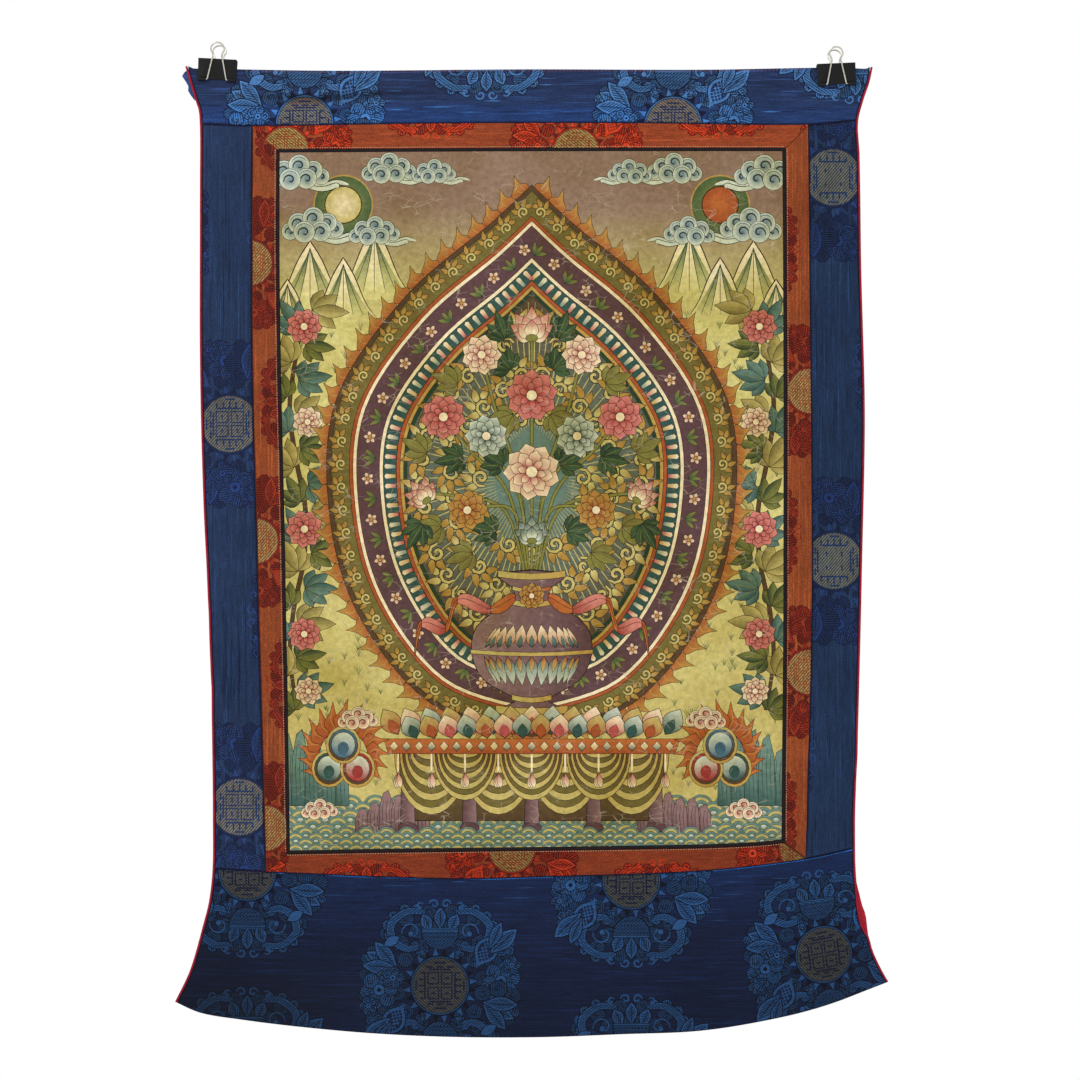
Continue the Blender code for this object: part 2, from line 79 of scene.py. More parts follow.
# %% [markdown]
# ### Light
# A studio photo of a hanging cloth has light from all round, which leaves no hard shadows, and a little
# more from one side, which lets the folds show. So the white surroundings give most of the light, and one
# large disc at the upper left adds the rest. The floor is plain and lies below the hem.

# %% Light and floor
def area_light(name, place, aim, size, power):
    data = bpy.data.lights.new(name, "AREA")
    data.shape = "DISK"
    data.size = size
    data.energy = power
    lamp = bpy.data.objects.new(name, data)
    lamp.location = place
    lamp.rotation_euler = (Vector(aim) - Vector(place)).to_track_quat("-Z", "Y").to_euler()
    bpy.context.scene.collection.objects.link(lamp)


CLOTH_MIDDLE = (0.0, 0.0, -0.42)
area_light("soft_key", (-1.3, -2.1, 0.9), CLOTH_MIDDLE, 1.2, 16)
world = bpy.data.worlds.new("studio")
world.use_nodes = True
world.node_tree.nodes["Background"].inputs["Color"].default_value = (1.0, 1.0, 1.0, 1.0)
world.node_tree.nodes["Background"].inputs["Strength"].default_value = 1.0
bpy.context.scene.world = world

bpy.context.scene.view_settings.view_transform = "Standard"

bpy.ops.mesh.primitive_plane_add(size=2.4, location=(0, 0, -1.25))
floor = bpy.context.object
floor.name = "floor"
paper = bpy.data.materials.new("floor")
paper.use_nodes = True
paper.node_tree.nodes["Principled BSDF"].inputs["Base Color"].default_value = (0.9, 0.9, 0.9, 1.0)
paper.node_tree.nodes["Principled BSDF"].inputs["Roughness"].default_value = 0.9
floor.data.materials.append(paper)
bpy.ops.object.select_all(action="DESELECT")
print("lights", len(bpy.data.lights), "floor", floor.name)

# %% [markdown]
# ## The lines of the cloth and its folds
# All the layers of a sewn cloth fold together. So the outline, the seams and the folds are written down
# once, in millimetres, and each piece reads them. A row line gives a height for each distance across, and
# a column line gives a distance across for each height.

# %% Outline and seams
TOP_EDGE = (
    (-289, -16.0), (-258, -16.6), (-157, -18.2), (0, -17.4), (145, -17.4), (258, -15.4), (290, -16.8),
)
TOP_SEAM = ((-275, -64.7), (-230, -66.4), (-65, -64.7), (100, -64.6), (236, -65.4), (277, -61.4))
CANVAS_TOP = ((-207.5, -89.0), (214.2, -87.8))
CANVAS_BOTTOM = ((-199, -674.5), (-107, -672.8), (137, -669.5), (190, -667.5), (213.4, -665.3))
BOTTOM_SEAM = (
    (-264, -689.8), (-219, -692.2), (-65, -697.6), (11, -696), (145, -691.3), (233, -681.6), (276, -672.5),
)
HEM = (
    (-297, -803.9), (-275, -812.6), (-241, -817.3), (-190, -822.4), (-123, -827.4), (-56, -829.9),
    (11, -829.9), (78, -827.6), (145, -825.0), (212, -815.4), (253, -806.1), (294, -792.6), (306, -788.5),
)
OUTER_LEFT = (
    (-804, -296.8), (-777, -283.9), (-737, -272.2), (-717, -267.2), (-690, -264.2), (-650, -263.8),
    (-582, -264.6), (-515, -266.3), (-448, -268.8), (-380, -272.2), (-246, -275.0), (-110, -274.6),
    (-56, -275.2), (-43, -279.0), (-30, -283.0), (-16, -287.0),
)
SEAM_LEFT = ((-692, -219.2), (-465, -225.3), (-250, -230.7), (-66, -230.5))
CANVAS_LEFT = ((-674, -198.7), (-448, -202.4), (-212, -207.3), (-89, -207.5))
CANVAS_RIGHT = ((-665, 213.4), (-465, 215.0), (-212, 215.0), (-88, 214.2))
SEAM_RIGHT = ((-682, 233.8), (-465, 239.0), (-246, 237.7), (-65, 236.0))
OUTER_RIGHT = (
    (-789, 306.0), (-778, 299.7), (-762, 292.2), (-748, 288.0), (-741, 283.5), (-724, 279.5), (-705, 277.4),
    (-690, 276.2), (-650, 275.7), (-582, 278.0), (-448, 281.4), (-313, 283.9), (-180, 280.8), (-90, 279.3),
    (-63, 278.0), (-43, 283.0), (-30, 287.5), (-16, 290.5),
)
LINING_RIGHT = (
    (-789, 305.6), (-762, 291.8), (-748, 288.2), (-741, 287.2), (-730, 285.6), (-722, 282.6), (-712, 280.0),
    (-700, 277.2), (-650, 275.3), (-582, 277.6), (-448, 281.0), (-313, 283.5), (-180, 280.4), (-90, 278.9),
    (-63, 277.6), (-43, 282.6),
)
FLAP_LEFT = (
    (-44.5, -279.5), (-41, -282.2), (-35.2, -285.4), (-32.5, -284.6), (-23.4, -290.0), (-16, -287.6),
)
FLAP_RIGHT = ((-44.5, 281.6), (-30, 286.6), (-16, 289.6))

BROCADE_THICKNESS = 1.2
LINING_THICKNESS = 1.0
PIPING_THICKNESS = 1.6
GAP = 0.3
LAYER_GAP = 0.4
BINDING_WIDTH = 1.8
PIPING_WIDTH = 2.4
FLAP_END = -44.5
LINING_TOP = -36.0
LAYER_STEP = LINING_THICKNESS / 2 + LAYER_GAP + BROCADE_THICKNESS / 2
BORDER_INSET = PIPING_WIDTH + 2 * GAP
EDGE_INSET = BINDING_WIDTH + GAP
print("from one layer to the next", round(LAYER_STEP, 2), "mm")

# %% [markdown]
# ### From measured places to smooth lines
# A tailor marks a few places on the cloth and joins them with a flowing chalk line. The same is done here:
# a curve with matching slopes runs through each table's rows. Two such lines meet at a panel's corner.

# %% Lines between the rows of a table
def smooth_line(rows, shift=0.0):
    """A smooth curve through rows of (place, value), moved by shift, straight on past its ends."""
    place, value = np.array(sorted(rows), float).T
    before = np.maximum(np.arange(len(place)) - 1, 0)
    after = np.minimum(np.arange(len(place)) + 1, len(place) - 1)
    slope = (value[after] - value[before]) / (place[after] - place[before])

    def line(at):
        at = np.asarray(at, float)
        i = np.clip(np.searchsorted(place, at, side="right") - 1, 0, len(place) - 2)
        span = place[i + 1] - place[i]
        t = np.clip((at - place[i]) / span, 0, 1)
        start = (2 * t**3 - 3 * t**2 + 1) * value[i] + (t**3 - 2 * t**2 + t) * span * slope[i]
        end = (3 * t**2 - 2 * t**3) * value[i + 1] + (t**3 - t**2) * span * slope[i + 1]
        past = slope[0] * np.minimum(at - place[0], 0) + slope[-1] * np.maximum(at - place[-1], 0)
        return start + end + past + shift

    return line


def meeting(row_line, column_line):
    """The point (across, height) where a row line crosses a column line."""
    height = row_line(0.0)
    for _ in range(30):
        across = column_line(height)
        height = row_line(across)
    return np.array([float(across), float(height)])


def along_row(line, start, end, pitch):
    across = np.linspace(start[0], end[0], max(2, int(abs(end[0] - start[0]) / pitch) + 1))
    return np.stack([across, line(across)], 1)


def along_column(line, start, end, pitch):
    height = np.linspace(start[1], end[1], max(2, int(abs(end[1] - start[1]) / pitch) + 1))
    return np.stack([line(height), height], 1)


def panel_outline(above, below, before, after, pitch=5.0):
    """The closed outline of the panel between two row lines and two column lines."""
    corners = [meeting(above, before), meeting(above, after), meeting(below, after), meeting(below, before)]
    sides = (
        along_row(above, corners[0], corners[1], pitch),
        along_column(after, corners[1], corners[2], pitch),
        along_row(below, corners[2], corners[3], pitch),
        along_column(before, corners[3], corners[0], pitch),
    )
    return np.concatenate([side[:-1] for side in sides])


seam_start = meeting(smooth_line(TOP_SEAM), smooth_line(OUTER_LEFT))
print("the upper seam starts at", seam_start.round(1), "mm")


# %% [markdown]
# ## How the cloth hangs
# The clips hold the top band flat. Below it the cloth bellies a little, its sides and lower corners curl
# back, and low waves cross it where it was stored rolled. A cloth simulation would hang it too smoothly
# and a little differently each time, so the folds are listed one by one: each is a soft ridge or trough.

# %% Folds
FLAT_BAND_END = -45.0
FLAT_BAND_BLEND = 30.0
BLEND_START = FLAT_BAND_END + 12.0
HEM_LEVEL = -830.0
TOP_BOW_RISE = 4.0
TOP_BOW_HALF_WIDTH = 235.0
BELLY_RISE = 6.0
SIDE_CURL = 7.0
SIDE_REACH = 285.0
LOWER_START = -640.0
LOWER_RISE = 12.0
CORNER_START = 130.0
CORNER_REACH = 176.0
RIGHT_CORNER_CURL = 36.0
LEFT_CORNER_CURL = 20.0
# Middle height, half width, rise at the left side, rise at the right side.
ROLL_WAVES = (
    (-128, 30, 1.5, 0.6),
    (-205, 34, -1.2, -0.6),
    (-300, 38, 0.7, 1.8),
    (-392, 36, -1.6, -0.5),
    (-477, 30, 1.9, 0.9),
    (-541, 26, -1.7, 0.4),
    (-604, 28, 0.6, -1.8),
    (-652, 26, 1.2, 1.4),
    (-745, 34, -1.4, 1.6),
)
# Middle across, middle height, half length, half width, lean in degrees, rise. The last rows are fine.
CREASES = (
    (-162, -43, 52, 8, 1, -2.0),
    (60, -41, 80, 9, -1, 1.6),
    (-252, -478, 24, 13, 3, -2.4),
    (-252, -541, 26, 13, -2, -2.6),
    (261, -598, 26, 12, 30, 3.4),
    (250, -651, 22, 12, 31, -3.0),
    (268, -738, 36, 20, -64, -3.0),
    (-150, -770, 70, 26, 12, -3.0),
    (120, -775, 60, 24, -16, 3.6),
    (-163, -42.5, 44, 1.7, 1, -0.9),
    (-140, -38.5, 60, 2.2, 2, 0.5),
    (150, -39, 70, 2.0, -1, 0.6),
    (-250, -477, 9, 2.2, 2, -0.8),
    (-252, -540, 13, 2.2, -2, -0.9),
    (260, -598, 17, 2.6, 31, -1.0),
    (246, -651, 12, 2.4, 34, -1.0),
    (40, -707, 150, 3.5, 2, 0.6),
    (-120, -736, 60, 5.0, -4, 0.7),
)


def soft_step(value):
    value = np.clip(value, 0, 1)
    return value * value * (3 - 2 * value)


def forward(across, height):
    """How far the cloth stands towards the viewer."""
    drop = np.clip((FLAT_BAND_END - height) / (FLAT_BAND_END - HEM_LEVEL), 0, 1)
    middle = np.cos(np.minimum(abs(across) / TOP_BOW_HALF_WIDTH, 1) * math.pi / 2) ** 2
    bulge = np.sin(math.pi * drop)
    depth = TOP_BOW_RISE * middle * (1 - soft_step(2 * drop))
    depth += BELLY_RISE * bulge * np.cos(across / SIDE_REACH * math.pi / 2)
    depth -= SIDE_CURL * bulge * (across / SIDE_REACH) ** 4
    lower = soft_step((LOWER_START - height) / (LOWER_START - HEM_LEVEL))
    depth += LOWER_RISE * lower * np.cos(across / SIDE_REACH * math.pi / 2)
    right = np.maximum((across - CORNER_START) / CORNER_REACH, 0)
    left = np.maximum((-across - CORNER_START) / CORNER_REACH, 0)
    depth -= lower * (RIGHT_CORNER_CURL * right**2 + LEFT_CORNER_CURL * left**2)
    lean = np.clip(across / SIDE_REACH, -1, 1) / 2 + 0.5
    for wave_height, half_width, rise_left, rise_right in ROLL_WAVES:
        rise = rise_left + (rise_right - rise_left) * lean
        depth += rise * np.exp(-(((height - wave_height) / half_width) ** 2))
    for mid_across, mid_height, half_length, half_width, lean_deg, rise in CREASES:
        turn = math.radians(lean_deg)
        x = across - mid_across
        z = height - mid_height
        along = (x * math.cos(turn) + z * math.sin(turn)) / half_length
        aside = (z * math.cos(turn) - x * math.sin(turn)) / half_width
        depth += rise * np.exp(-(along**2) - aside**2)
    held = soft_step((BLEND_START - height) / FLAT_BAND_BLEND)
    return depth * held + TOP_BOW_RISE * middle * (1 - held)


def hang(points, layer):
    """Flat points (across, height) on the hung cloth, layer millimetres behind its middle surface."""
    across, height = points[:, 0], points[:, 1]
    step = 0.5
    slope_across = (forward(across + step, height) - forward(across - step, height)) / (2 * step)
    slope_up = (forward(across, height + step) - forward(across, height - step)) / (2 * step)
    back = np.stack([slope_across, np.ones(len(points)), slope_up], 1)
    back /= np.linalg.norm(back, axis=1)[:, None]
    return np.stack([across, -forward(across, height), height], 1) + back * layer


print("the lower right corner lies", round(-float(forward(290.0, -800.0)), 1), "mm back")


# %% [markdown]
# ## Drawing on cloth
# A brocade's figure and a painting's line both lie in the cloth. They could be pictures wrapped on a
# sheet, but a drawn outline stays sharp at any distance. So each pattern is a pile of flat shapes, like
# cut paper, and the cloth's surface is triangulated along their edges. Each shape gives its colour to the
# triangles that it tops, plain, or running from one colour to a second.

# %% The drawing
def rgb(red, green, blue):
    """A colour picked as 0 to 255 screen values, as the linear light that a shader takes."""
    screen = np.array([red, green, blue]) / 255
    return np.where(screen <= 0.04045, screen / 12.92, ((screen + 0.055) / 1.055) ** 2.4)


INK = rgb(38, 28, 24)


class Drawing:
    """A pile of shapes, in millimetres. A later shape covers an earlier one."""

    def __init__(self):
        self.loops = []
        self.looks = []
        self.pen = np.eye(3)

    @contextmanager
    def moved(self, across=0.0, height=0.0, size=1.0, turn=0.0, flip=False):
        """What is drawn inside this block is mirrored, sized, turned by degrees, then moved."""
        kept = self.pen
        c, s = math.cos(math.radians(turn)) * size, math.sin(math.radians(turn)) * size
        mirror = -1 if flip else 1
        self.pen = kept @ np.array([[c * mirror, -s, across], [s * mirror, c, height], [0, 0, 1]])
        yield
        self.pen = kept

    def on_cloth(self, points):
        points = np.asarray(points, float).reshape(-1, 2)
        return points @ self.pen[:2, :2].T + self.pen[:2, 2]

    def fill(self, points, first, second=None, axis=None, line=0.0, ink=INK, hatch=None, silk=1.0):
        """A closed shape. axis is two points that the colour runs between, or a middle and a radius."""
        loop = self.on_cloth(points)
        if line:
            self.fill_loop(widened(loop, line), ink, silk=silk)
        self.fill_loop(loop, first, second, axis, hatch, silk)

    def fill_loop(self, loop, first, second=None, axis=None, hatch=None, silk=1.0):
        second = first if second is None else second
        round_axis = 0.0
        start, run = np.zeros(2), np.zeros(2)
        if axis is not None:
            start = self.on_cloth(axis[0])[0]
            if np.ndim(axis[1]) == 0:
                round_axis = 1.0
                run = np.array([axis[1] * math.sqrt(abs(np.linalg.det(self.pen[:2, :2]))), 0])
            else:
                run = self.on_cloth(axis[1])[0] - start
        angle = math.nan
        if hatch is not None:
            angle = math.radians(hatch) + math.atan2(self.pen[1, 0], self.pen[0, 0])
        self.loops.append(loop)
        self.looks.append([*first, *second, *start, *run, round_axis, angle, silk])

    def stroke(self, points, width, ink=INK, taper=1.0, silk=1.0, hatch=None):
        """A brush line along points, thinner at its ends by the share taper."""
        path = self.on_cloth(points)
        if len(path) < 2:
            return
        run = np.gradient(path, axis=0)
        side = np.stack([-run[:, 1], run[:, 0]], 1)
        side /= np.maximum(np.linalg.norm(side, axis=1), 1e-9)[:, None]
        t = np.linspace(0, 1, len(path))
        half = width / 2 * math.sqrt(abs(np.linalg.det(self.pen[:2, :2])))
        half = half * (1 - taper * (np.abs(2 * t - 1) ** 3)) + 0.04
        sides = [path + side * half[:, None], (path - side * half[:, None])[::-1]]
        self.fill_loop(np.concatenate(sides), ink, hatch=hatch, silk=silk)


def signed_area(loop):
    x, z = loop[:, 0], loop[:, 1]
    return 0.5 * float(np.sum(x * np.roll(z, -1) - np.roll(x, -1) * z))


def widened(loop, by):
    """A closed loop moved outwards by a distance."""
    before = loop - np.roll(loop, 1, 0)
    after = np.roll(loop, -1, 0) - loop
    before /= np.maximum(np.linalg.norm(before, axis=1), 1e-9)[:, None]
    after /= np.maximum(np.linalg.norm(after, axis=1), 1e-9)[:, None]
    run = before + after
    length = np.maximum(np.linalg.norm(run, axis=1), 0.6)
    out = np.stack([run[:, 1], -run[:, 0]], 1) / length[:, None] ** 2 * 2
    return loop + out * by * (1 if signed_area(loop) > 0 else -1)


unit_square = np.array([(0, 0), (1, 0), (1, 1), (0, 1)], float)
print("area of a unit square", signed_area(unit_square))

# %% [markdown]
# ### The few shapes that all patterns are made of
# Ovals, arcs, petals and free curves are enough for most ornament. Each returns flat points, so the same
# petal can be a leaf of the brocade or a flower of the painting.

# %% Simple shapes
def oval(across, height, wide, tall=None, steps=16):
    tall = wide if tall is None else tall
    a = np.arange(steps) / steps * 2 * math.pi
    return np.stack([across + wide * np.cos(a), height + tall * np.sin(a)], 1)


def arc(across, height, radius, start, end, steps=10, end_radius=None):
    """An arc from one angle to another, in degrees, that can wind in to a second radius."""
    a = np.radians(np.linspace(start, end, steps))
    r = np.linspace(radius, radius if end_radius is None else end_radius, steps)
    return np.stack([across + r * np.cos(a), height + r * np.sin(a)], 1)


def petal(length, width, lift=0.45, steps=6, hook=0.0):
    """A leaf or petal that grows from (0, 0) up to its point at (0, length)."""
    t = np.linspace(0, 1, steps)
    wide = width / 2 * np.sin(math.pi * t ** (math.log(0.5) / math.log(lift)))
    bend = hook * t**2
    left = np.stack([bend - wide, t * length], 1)
    right = np.stack([bend + wide, t * length], 1)
    return np.concatenate([left, right[-2:0:-1]])


def curve(points, steps=5):
    """A smooth curve through a few points."""
    p = np.asarray(points, float)
    p = np.concatenate([p[:1], p, p[-1:]])
    t = np.arange(steps)[:, None] / steps
    found = []
    for a, b, c, d in zip(p, p[1:], p[2:], p[3:]):
        found.append(0.5 * (2 * b + (c - a) * t + (2 * a - 5 * b + 4 * c - d) * t**2
                            + (3 * b - a - 3 * c + d) * t**3))
    found.append(p[-2:-1])
    return np.concatenate(found)


print("points of an oval", len(oval(0, 0, 1.0)), "of a petal", len(petal(2.0, 1.0)))


# %% [markdown]
# ## From a drawing to a cloth
# The face is triangulated along the drawing. The reverse needs no drawing, so it is coarse, and it shares
# the face's outline, so the two close round the thickness. Each corner of a triangle gets the true normal
# of the fold that it lies on, which keeps the shading soft however thin the triangle is.

# %% Triangles of a drawing
WELD = 0.00001
INSIDE_FACES = 1
LINE_SLACK = 0.035
LONGEST_SPARED = 6.0


def anticlockwise(loop):
    """The loop from its leftmost point, turned so that its inside lies to the left of that corner."""
    loop = np.roll(loop, -int(np.argmin(loop[:, 0])), 0)
    to, away = loop[0] - loop[-1], loop[1] - loop[0]
    if to[0] * away[1] - to[1] * away[0] < 0:
        return np.roll(loop[::-1], 1, 0)
    return loop


def triangles_of(loops, loose, middle):
    """Points, triangles inside the first loop, the topmost loop of each, and each point's first source."""
    verts, faces = [], []
    for loop in loops:
        loop = anticlockwise(loop)
        faces.append(list(range(len(verts), len(verts) + len(loop))))
        verts.extend((loop - middle).tolist())
    verts.extend((np.asarray(loose).reshape(-1, 2) - middle).tolist())
    made = delaunay_2d_cdt([Vector(v) for v in verts], [], faces, INSIDE_FACES, WELD, True)
    points = np.array([v[:] for v in made[0]]) + middle
    kept = [(face, max(ids)) for face, ids in zip(made[2], made[5]) if 0 in ids and len(face) == 3]
    triangles = np.array([face for face, _ in kept])
    return points, triangles, np.array([top for _, top in kept]), made[3]


def shown_lines(points, triangles, kinds):
    """The edges where the look changes, without the points that a nearly straight line can spare."""
    edges = np.concatenate([triangles[:, [0, 1]], triangles[:, [1, 2]], triangles[:, [2, 0]]])
    edges, owner = np.unique(np.sort(edges, axis=1), axis=0, return_inverse=True)
    owner = owner.ravel()
    side_kinds = np.tile(kinds, 3)
    low, high = np.full(len(edges), np.inf), np.full(len(edges), -np.inf)
    np.minimum.at(low, owner, side_kinds)
    np.maximum.at(high, owner, side_kinds)
    rim = np.bincount(owner) == 1
    on_rim = set(edges[rim].ravel().tolist())
    shown = (low != high) | rim
    beside = {}
    for a, b in edges[shown].tolist():
        beside.setdefault(a, set()).add(b)
        beside.setdefault(b, set()).add(a)
    spots = {k: points[k].tolist() for k in beside}
    for k in list(beside):
        if len(beside[k]) != 2 or k in on_rim:
            continue
        a, b = beside[k]
        (ax, az), (bx, bz), (x, z) = spots[a], spots[b], spots[k]
        length = math.hypot(bx - ax, bz - az)
        off = abs((bx - ax) * (z - az) - (bz - az) * (x - ax)) / max(length, 1e-9)
        if off < LINE_SLACK and length < LONGEST_SPARED and b not in beside[a]:
            beside[a] = (beside[a] - {k}) | {b}
            beside[b] = (beside[b] - {k}) | {a}
            del beside[k]
    number = {k: i for i, k in enumerate(beside)}
    lines = [(number[a], number[b]) for a in beside for b in beside[a] if a < b]
    return [spots[k] for k in beside], lines, [number[k] for k in border_loop(triangles).tolist()]


def drawn_triangles(outline, drawing, looks, pitch, middle):
    """The face's triangles and the look of each, kept only as fine as the shown lines need."""
    points, triangles, top, _ = triangles_of([outline, *drawing.loops], [], middle)
    _, kind_of = np.unique(np.nan_to_num(looks, nan=-9.0), axis=0, return_inverse=True)
    spots, lines, rim = shown_lines(points, triangles, kind_of.ravel()[top])
    loose = grid_points(outline, pitch)
    verts = [Vector(v) for v in (np.concatenate([spots, loose]) - middle).tolist()]
    made = delaunay_2d_cdt(verts, lines, [rim], INSIDE_FACES, WELD, True)
    finer = np.array([v[:] for v in made[0]]) + middle
    faces = np.array([face for face, ids in zip(made[2], made[5]) if ids])
    flat = np.column_stack([points - middle, np.zeros(len(points))]).tolist()
    tree = BVHTree.FromPolygons(flat, triangles.tolist(), all_triangles=True)
    centres = finer[faces].mean(1) - middle
    found = [tree.find_nearest((x, z, 0.0))[2] for x, z in centres.tolist()]
    return finer, faces, top[found]


def border_loop(triangles):
    """The outline's point numbers, in order."""
    edges = np.concatenate([triangles[:, [0, 1]], triangles[:, [1, 2]], triangles[:, [2, 0]]])
    known = set(map(tuple, edges.tolist()))
    follows = {a: b for a, b in known if (b, a) not in known}
    start = min(follows)
    loop = [start]
    while follows[loop[-1]] != start:
        loop.append(follows[loop[-1]])
        if len(loop) > len(follows):
            raise ValueError("the outline isn't one closed line")
    return np.array(loop)


def grid_points(outline, pitch):
    low, high = outline.min(0), outline.max(0)
    counts = np.maximum(((high - low) / pitch).astype(int), 1) + 1
    across = np.linspace(low[0], high[0], counts[0] + 1)
    height = np.linspace(low[1], high[1], counts[1] + 1)
    return np.stack(np.meshgrid(across[1:-1], height[1:-1]), -1).reshape(-1, 2)


print("line slack", LINE_SLACK, "mm")

# %% [markdown]
# ### One closed sheet from its flat outline
# The real cloth is cut flat and then hangs in folds. The sheet is made in the same order: the flat
# triangles are finished first, then every point is hung, half the thickness before or behind the middle.
# The flat place is kept in the sheet's UV map, so that the weave follows the cloth round its folds.

# %% The cloth itself
def make_cloth(name, outline, drawing, place, thickness, ground, reverse, shade=None, pitch=9.0,
               back_pitch=14.0):
    """A closed sheet. place(points, offset) hangs flat points, offset behind the sheet's middle."""
    middle = (outline.min(0) + outline.max(0)) / 2
    looks = np.array([[*ground, *ground, 0, 0, 0, 0, 0, math.nan, 0.0], *drawing.looks])
    points, front, top = drawn_triangles(outline, drawing, looks, pitch, middle)
    used, front = np.unique(front, return_inverse=True)
    points, front = points[used], front.reshape(-1, 3)
    loop = border_loop(front)
    rim = points[loop]
    back_points, back, _, sources = triangles_of([rim], grid_points(outline, back_pitch), middle)
    backward = signed_area(rim) < 0
    rim_back = np.empty(len(loop), int)
    for number, found in enumerate(sources):
        for source in found:
            if source < len(loop):
                rim_back[len(loop) - 1 - source if backward else source] = number
    first_back = len(points)
    a, b = loop, np.roll(loop, -1)
    c, d = first_back + np.roll(rim_back, -1), first_back + rim_back
    sides = np.concatenate([np.stack([b, a, d], 1), np.stack([b, d, c], 1)])
    faces = np.concatenate([front, first_back + back[:, ::-1], sides])

    span = 0.05
    half = thickness / 2
    flat = np.concatenate([points, back_points])
    hung = np.concatenate([place(points, -half), place(back_points, half)])
    tilt_x = place(flat + [span, 0], 0.0) - place(flat - [span, 0], 0.0)
    tilt_z = place(flat + [0, span], 0.0) - place(flat - [0, span], 0.0)
    face_normal = np.cross(tilt_x, tilt_z)
    face_normal /= np.linalg.norm(face_normal, axis=1)[:, None]
    run = hung[b] - hung[a]
    out = np.cross(run, -face_normal[a])
    out /= np.maximum(np.linalg.norm(out, axis=1), 1e-12)[:, None]
    out = -out
    normals = np.concatenate([
        face_normal[front].reshape(-1, 3),
        -face_normal[first_back + back[:, ::-1]].reshape(-1, 3),
        np.stack([out + face_normal[b], out + face_normal[a], out - face_normal[d]], 1).reshape(-1, 3),
        np.stack([out + face_normal[b], out - face_normal[d], out - face_normal[c]], 1).reshape(-1, 3),
    ])
    normals /= np.linalg.norm(normals, axis=1)[:, None]

    edges = np.sort(np.concatenate([faces[:, [0, 1]], faces[:, [1, 2]], faces[:, [2, 0]]]), axis=1)
    uses = np.unique(edges, axis=0, return_counts=True)[1]
    print(name, len(faces), "triangles,", len(drawing.loops), "shapes,", int((uses != 2).sum()), "open edges")
    mesh = bpy.data.meshes.new(name)
    mesh.vertices.add(len(hung))
    mesh.vertices.foreach_set("co", (hung * MM).ravel())
    mesh.loops.add(faces.size)
    mesh.loops.foreach_set("vertex_index", faces.ravel())
    mesh.polygons.add(len(faces))
    mesh.polygons.foreach_set("loop_start", np.arange(len(faces)) * 3)
    mesh.update(calc_edges=True)
    mesh.validate()

    corner = flat[faces.ravel()]
    look = np.repeat(looks[top], 3, axis=0)
    plain = np.tile([*reverse, *reverse, 0, 0, 0, 0, 0, math.nan, 0.0], (faces.size - look.shape[0], 1))
    look = np.concatenate([look, plain])
    offset = corner - look[:, 6:8]
    run = look[:, 8:10]
    length = np.maximum((run**2).sum(1), 1e-9)
    straight = (offset * run).sum(1) / length
    rounded = np.sqrt((offset**2).sum(1) / length)
    share = np.clip(np.where(look[:, 10] > 0, rounded, straight), 0, 1)[:, None]
    tone = look[:, 0:3] * (1 - share) + look[:, 3:6] * share
    if shade is not None:
        tone *= shade(corner)
    angle = look[:, 11]
    lined = ~np.isnan(angle)
    angle = np.where(lined, angle, 0)
    across_lines = corner[:, 0] * np.sin(angle) + corner[:, 1] * np.cos(angle)
    colour = mesh.color_attributes.new("tone", "FLOAT_COLOR", "CORNER")
    colour.data.foreach_set("color", np.concatenate([tone, look[:, 12:13]], 1).ravel())
    mesh.uv_layers.new(name="flat").data.foreach_set("uv", (corner * MM).ravel())
    lines = np.stack([across_lines * MM, lined.astype(float)], 1)
    mesh.uv_layers.new(name="lines").data.foreach_set("uv", lines.ravel())
    mesh.polygons.foreach_set("use_smooth", np.ones(len(faces), bool))
    mesh.normals_split_custom_set(normals.tolist())
    cloth = bpy.data.objects.new(name, mesh)
    bpy.context.scene.collection.objects.link(cloth)
    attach(cloth, "root")
    return cloth


def front_place(points, offset):
    return hang(points, offset - LAYER_STEP)


def lining_place(points, offset):
    return hang(points, offset)


# %% [markdown]
# ## Finishes
# Silk brocade shines where its figure floats over the ground, so the drawing says which shapes are silk,
# and how the threads of each run. The painting is opaque colour in glue on cotton: dull, cracked by
# rolling, and browned by lamp smoke. All of it is worked out from millimetres on the flat cloth.

# %% Nodes of a finish
def add_node(tree, kind, inputs=None, **settings):
    """A node whose sockets take a number, a colour or another node's output."""
    node = tree.nodes.new(kind)
    for key, value in settings.items():
        setattr(node, key, value)
    for key, value in (inputs or {}).items():
        if isinstance(value, bpy.types.NodeSocket):
            tree.links.new(value, node.inputs[key])
        else:
            node.inputs[key].default_value = value
    return node


def calc(tree, operation, *values):
    return add_node(tree, "ShaderNodeMath", dict(enumerate(values)), operation=operation).outputs[0]


def blend(tree, share, one, two, kind="MIX"):
    found = add_node(tree, "ShaderNodeMix", {0: share, 6: one, 7: two}, data_type="RGBA", blend_type=kind)
    return found.outputs[2]


def new_finish(name, roughness, metallic=0.0):
    material = bpy.data.materials.new(name)
    material.use_nodes = True
    shader = material.node_tree.nodes["Principled BSDF"]
    shader.inputs["Roughness"].default_value = roughness
    shader.inputs["Metallic"].default_value = metallic
    return material, material.node_tree, shader


def flat_mm(tree):
    """The place on the flat cloth, in millimetres."""
    flat = add_node(tree, "ShaderNodeUVMap", uv_map="flat").outputs[0]
    return add_node(tree, "ShaderNodeVectorMath", {0: flat, 3: 1000.0}, operation="SCALE").outputs[0]


def object_mm(tree):
    spot = add_node(tree, "ShaderNodeTexCoord").outputs["Object"]
    return add_node(tree, "ShaderNodeVectorMath", {0: spot, 3: 1000.0}, operation="SCALE").outputs[0]


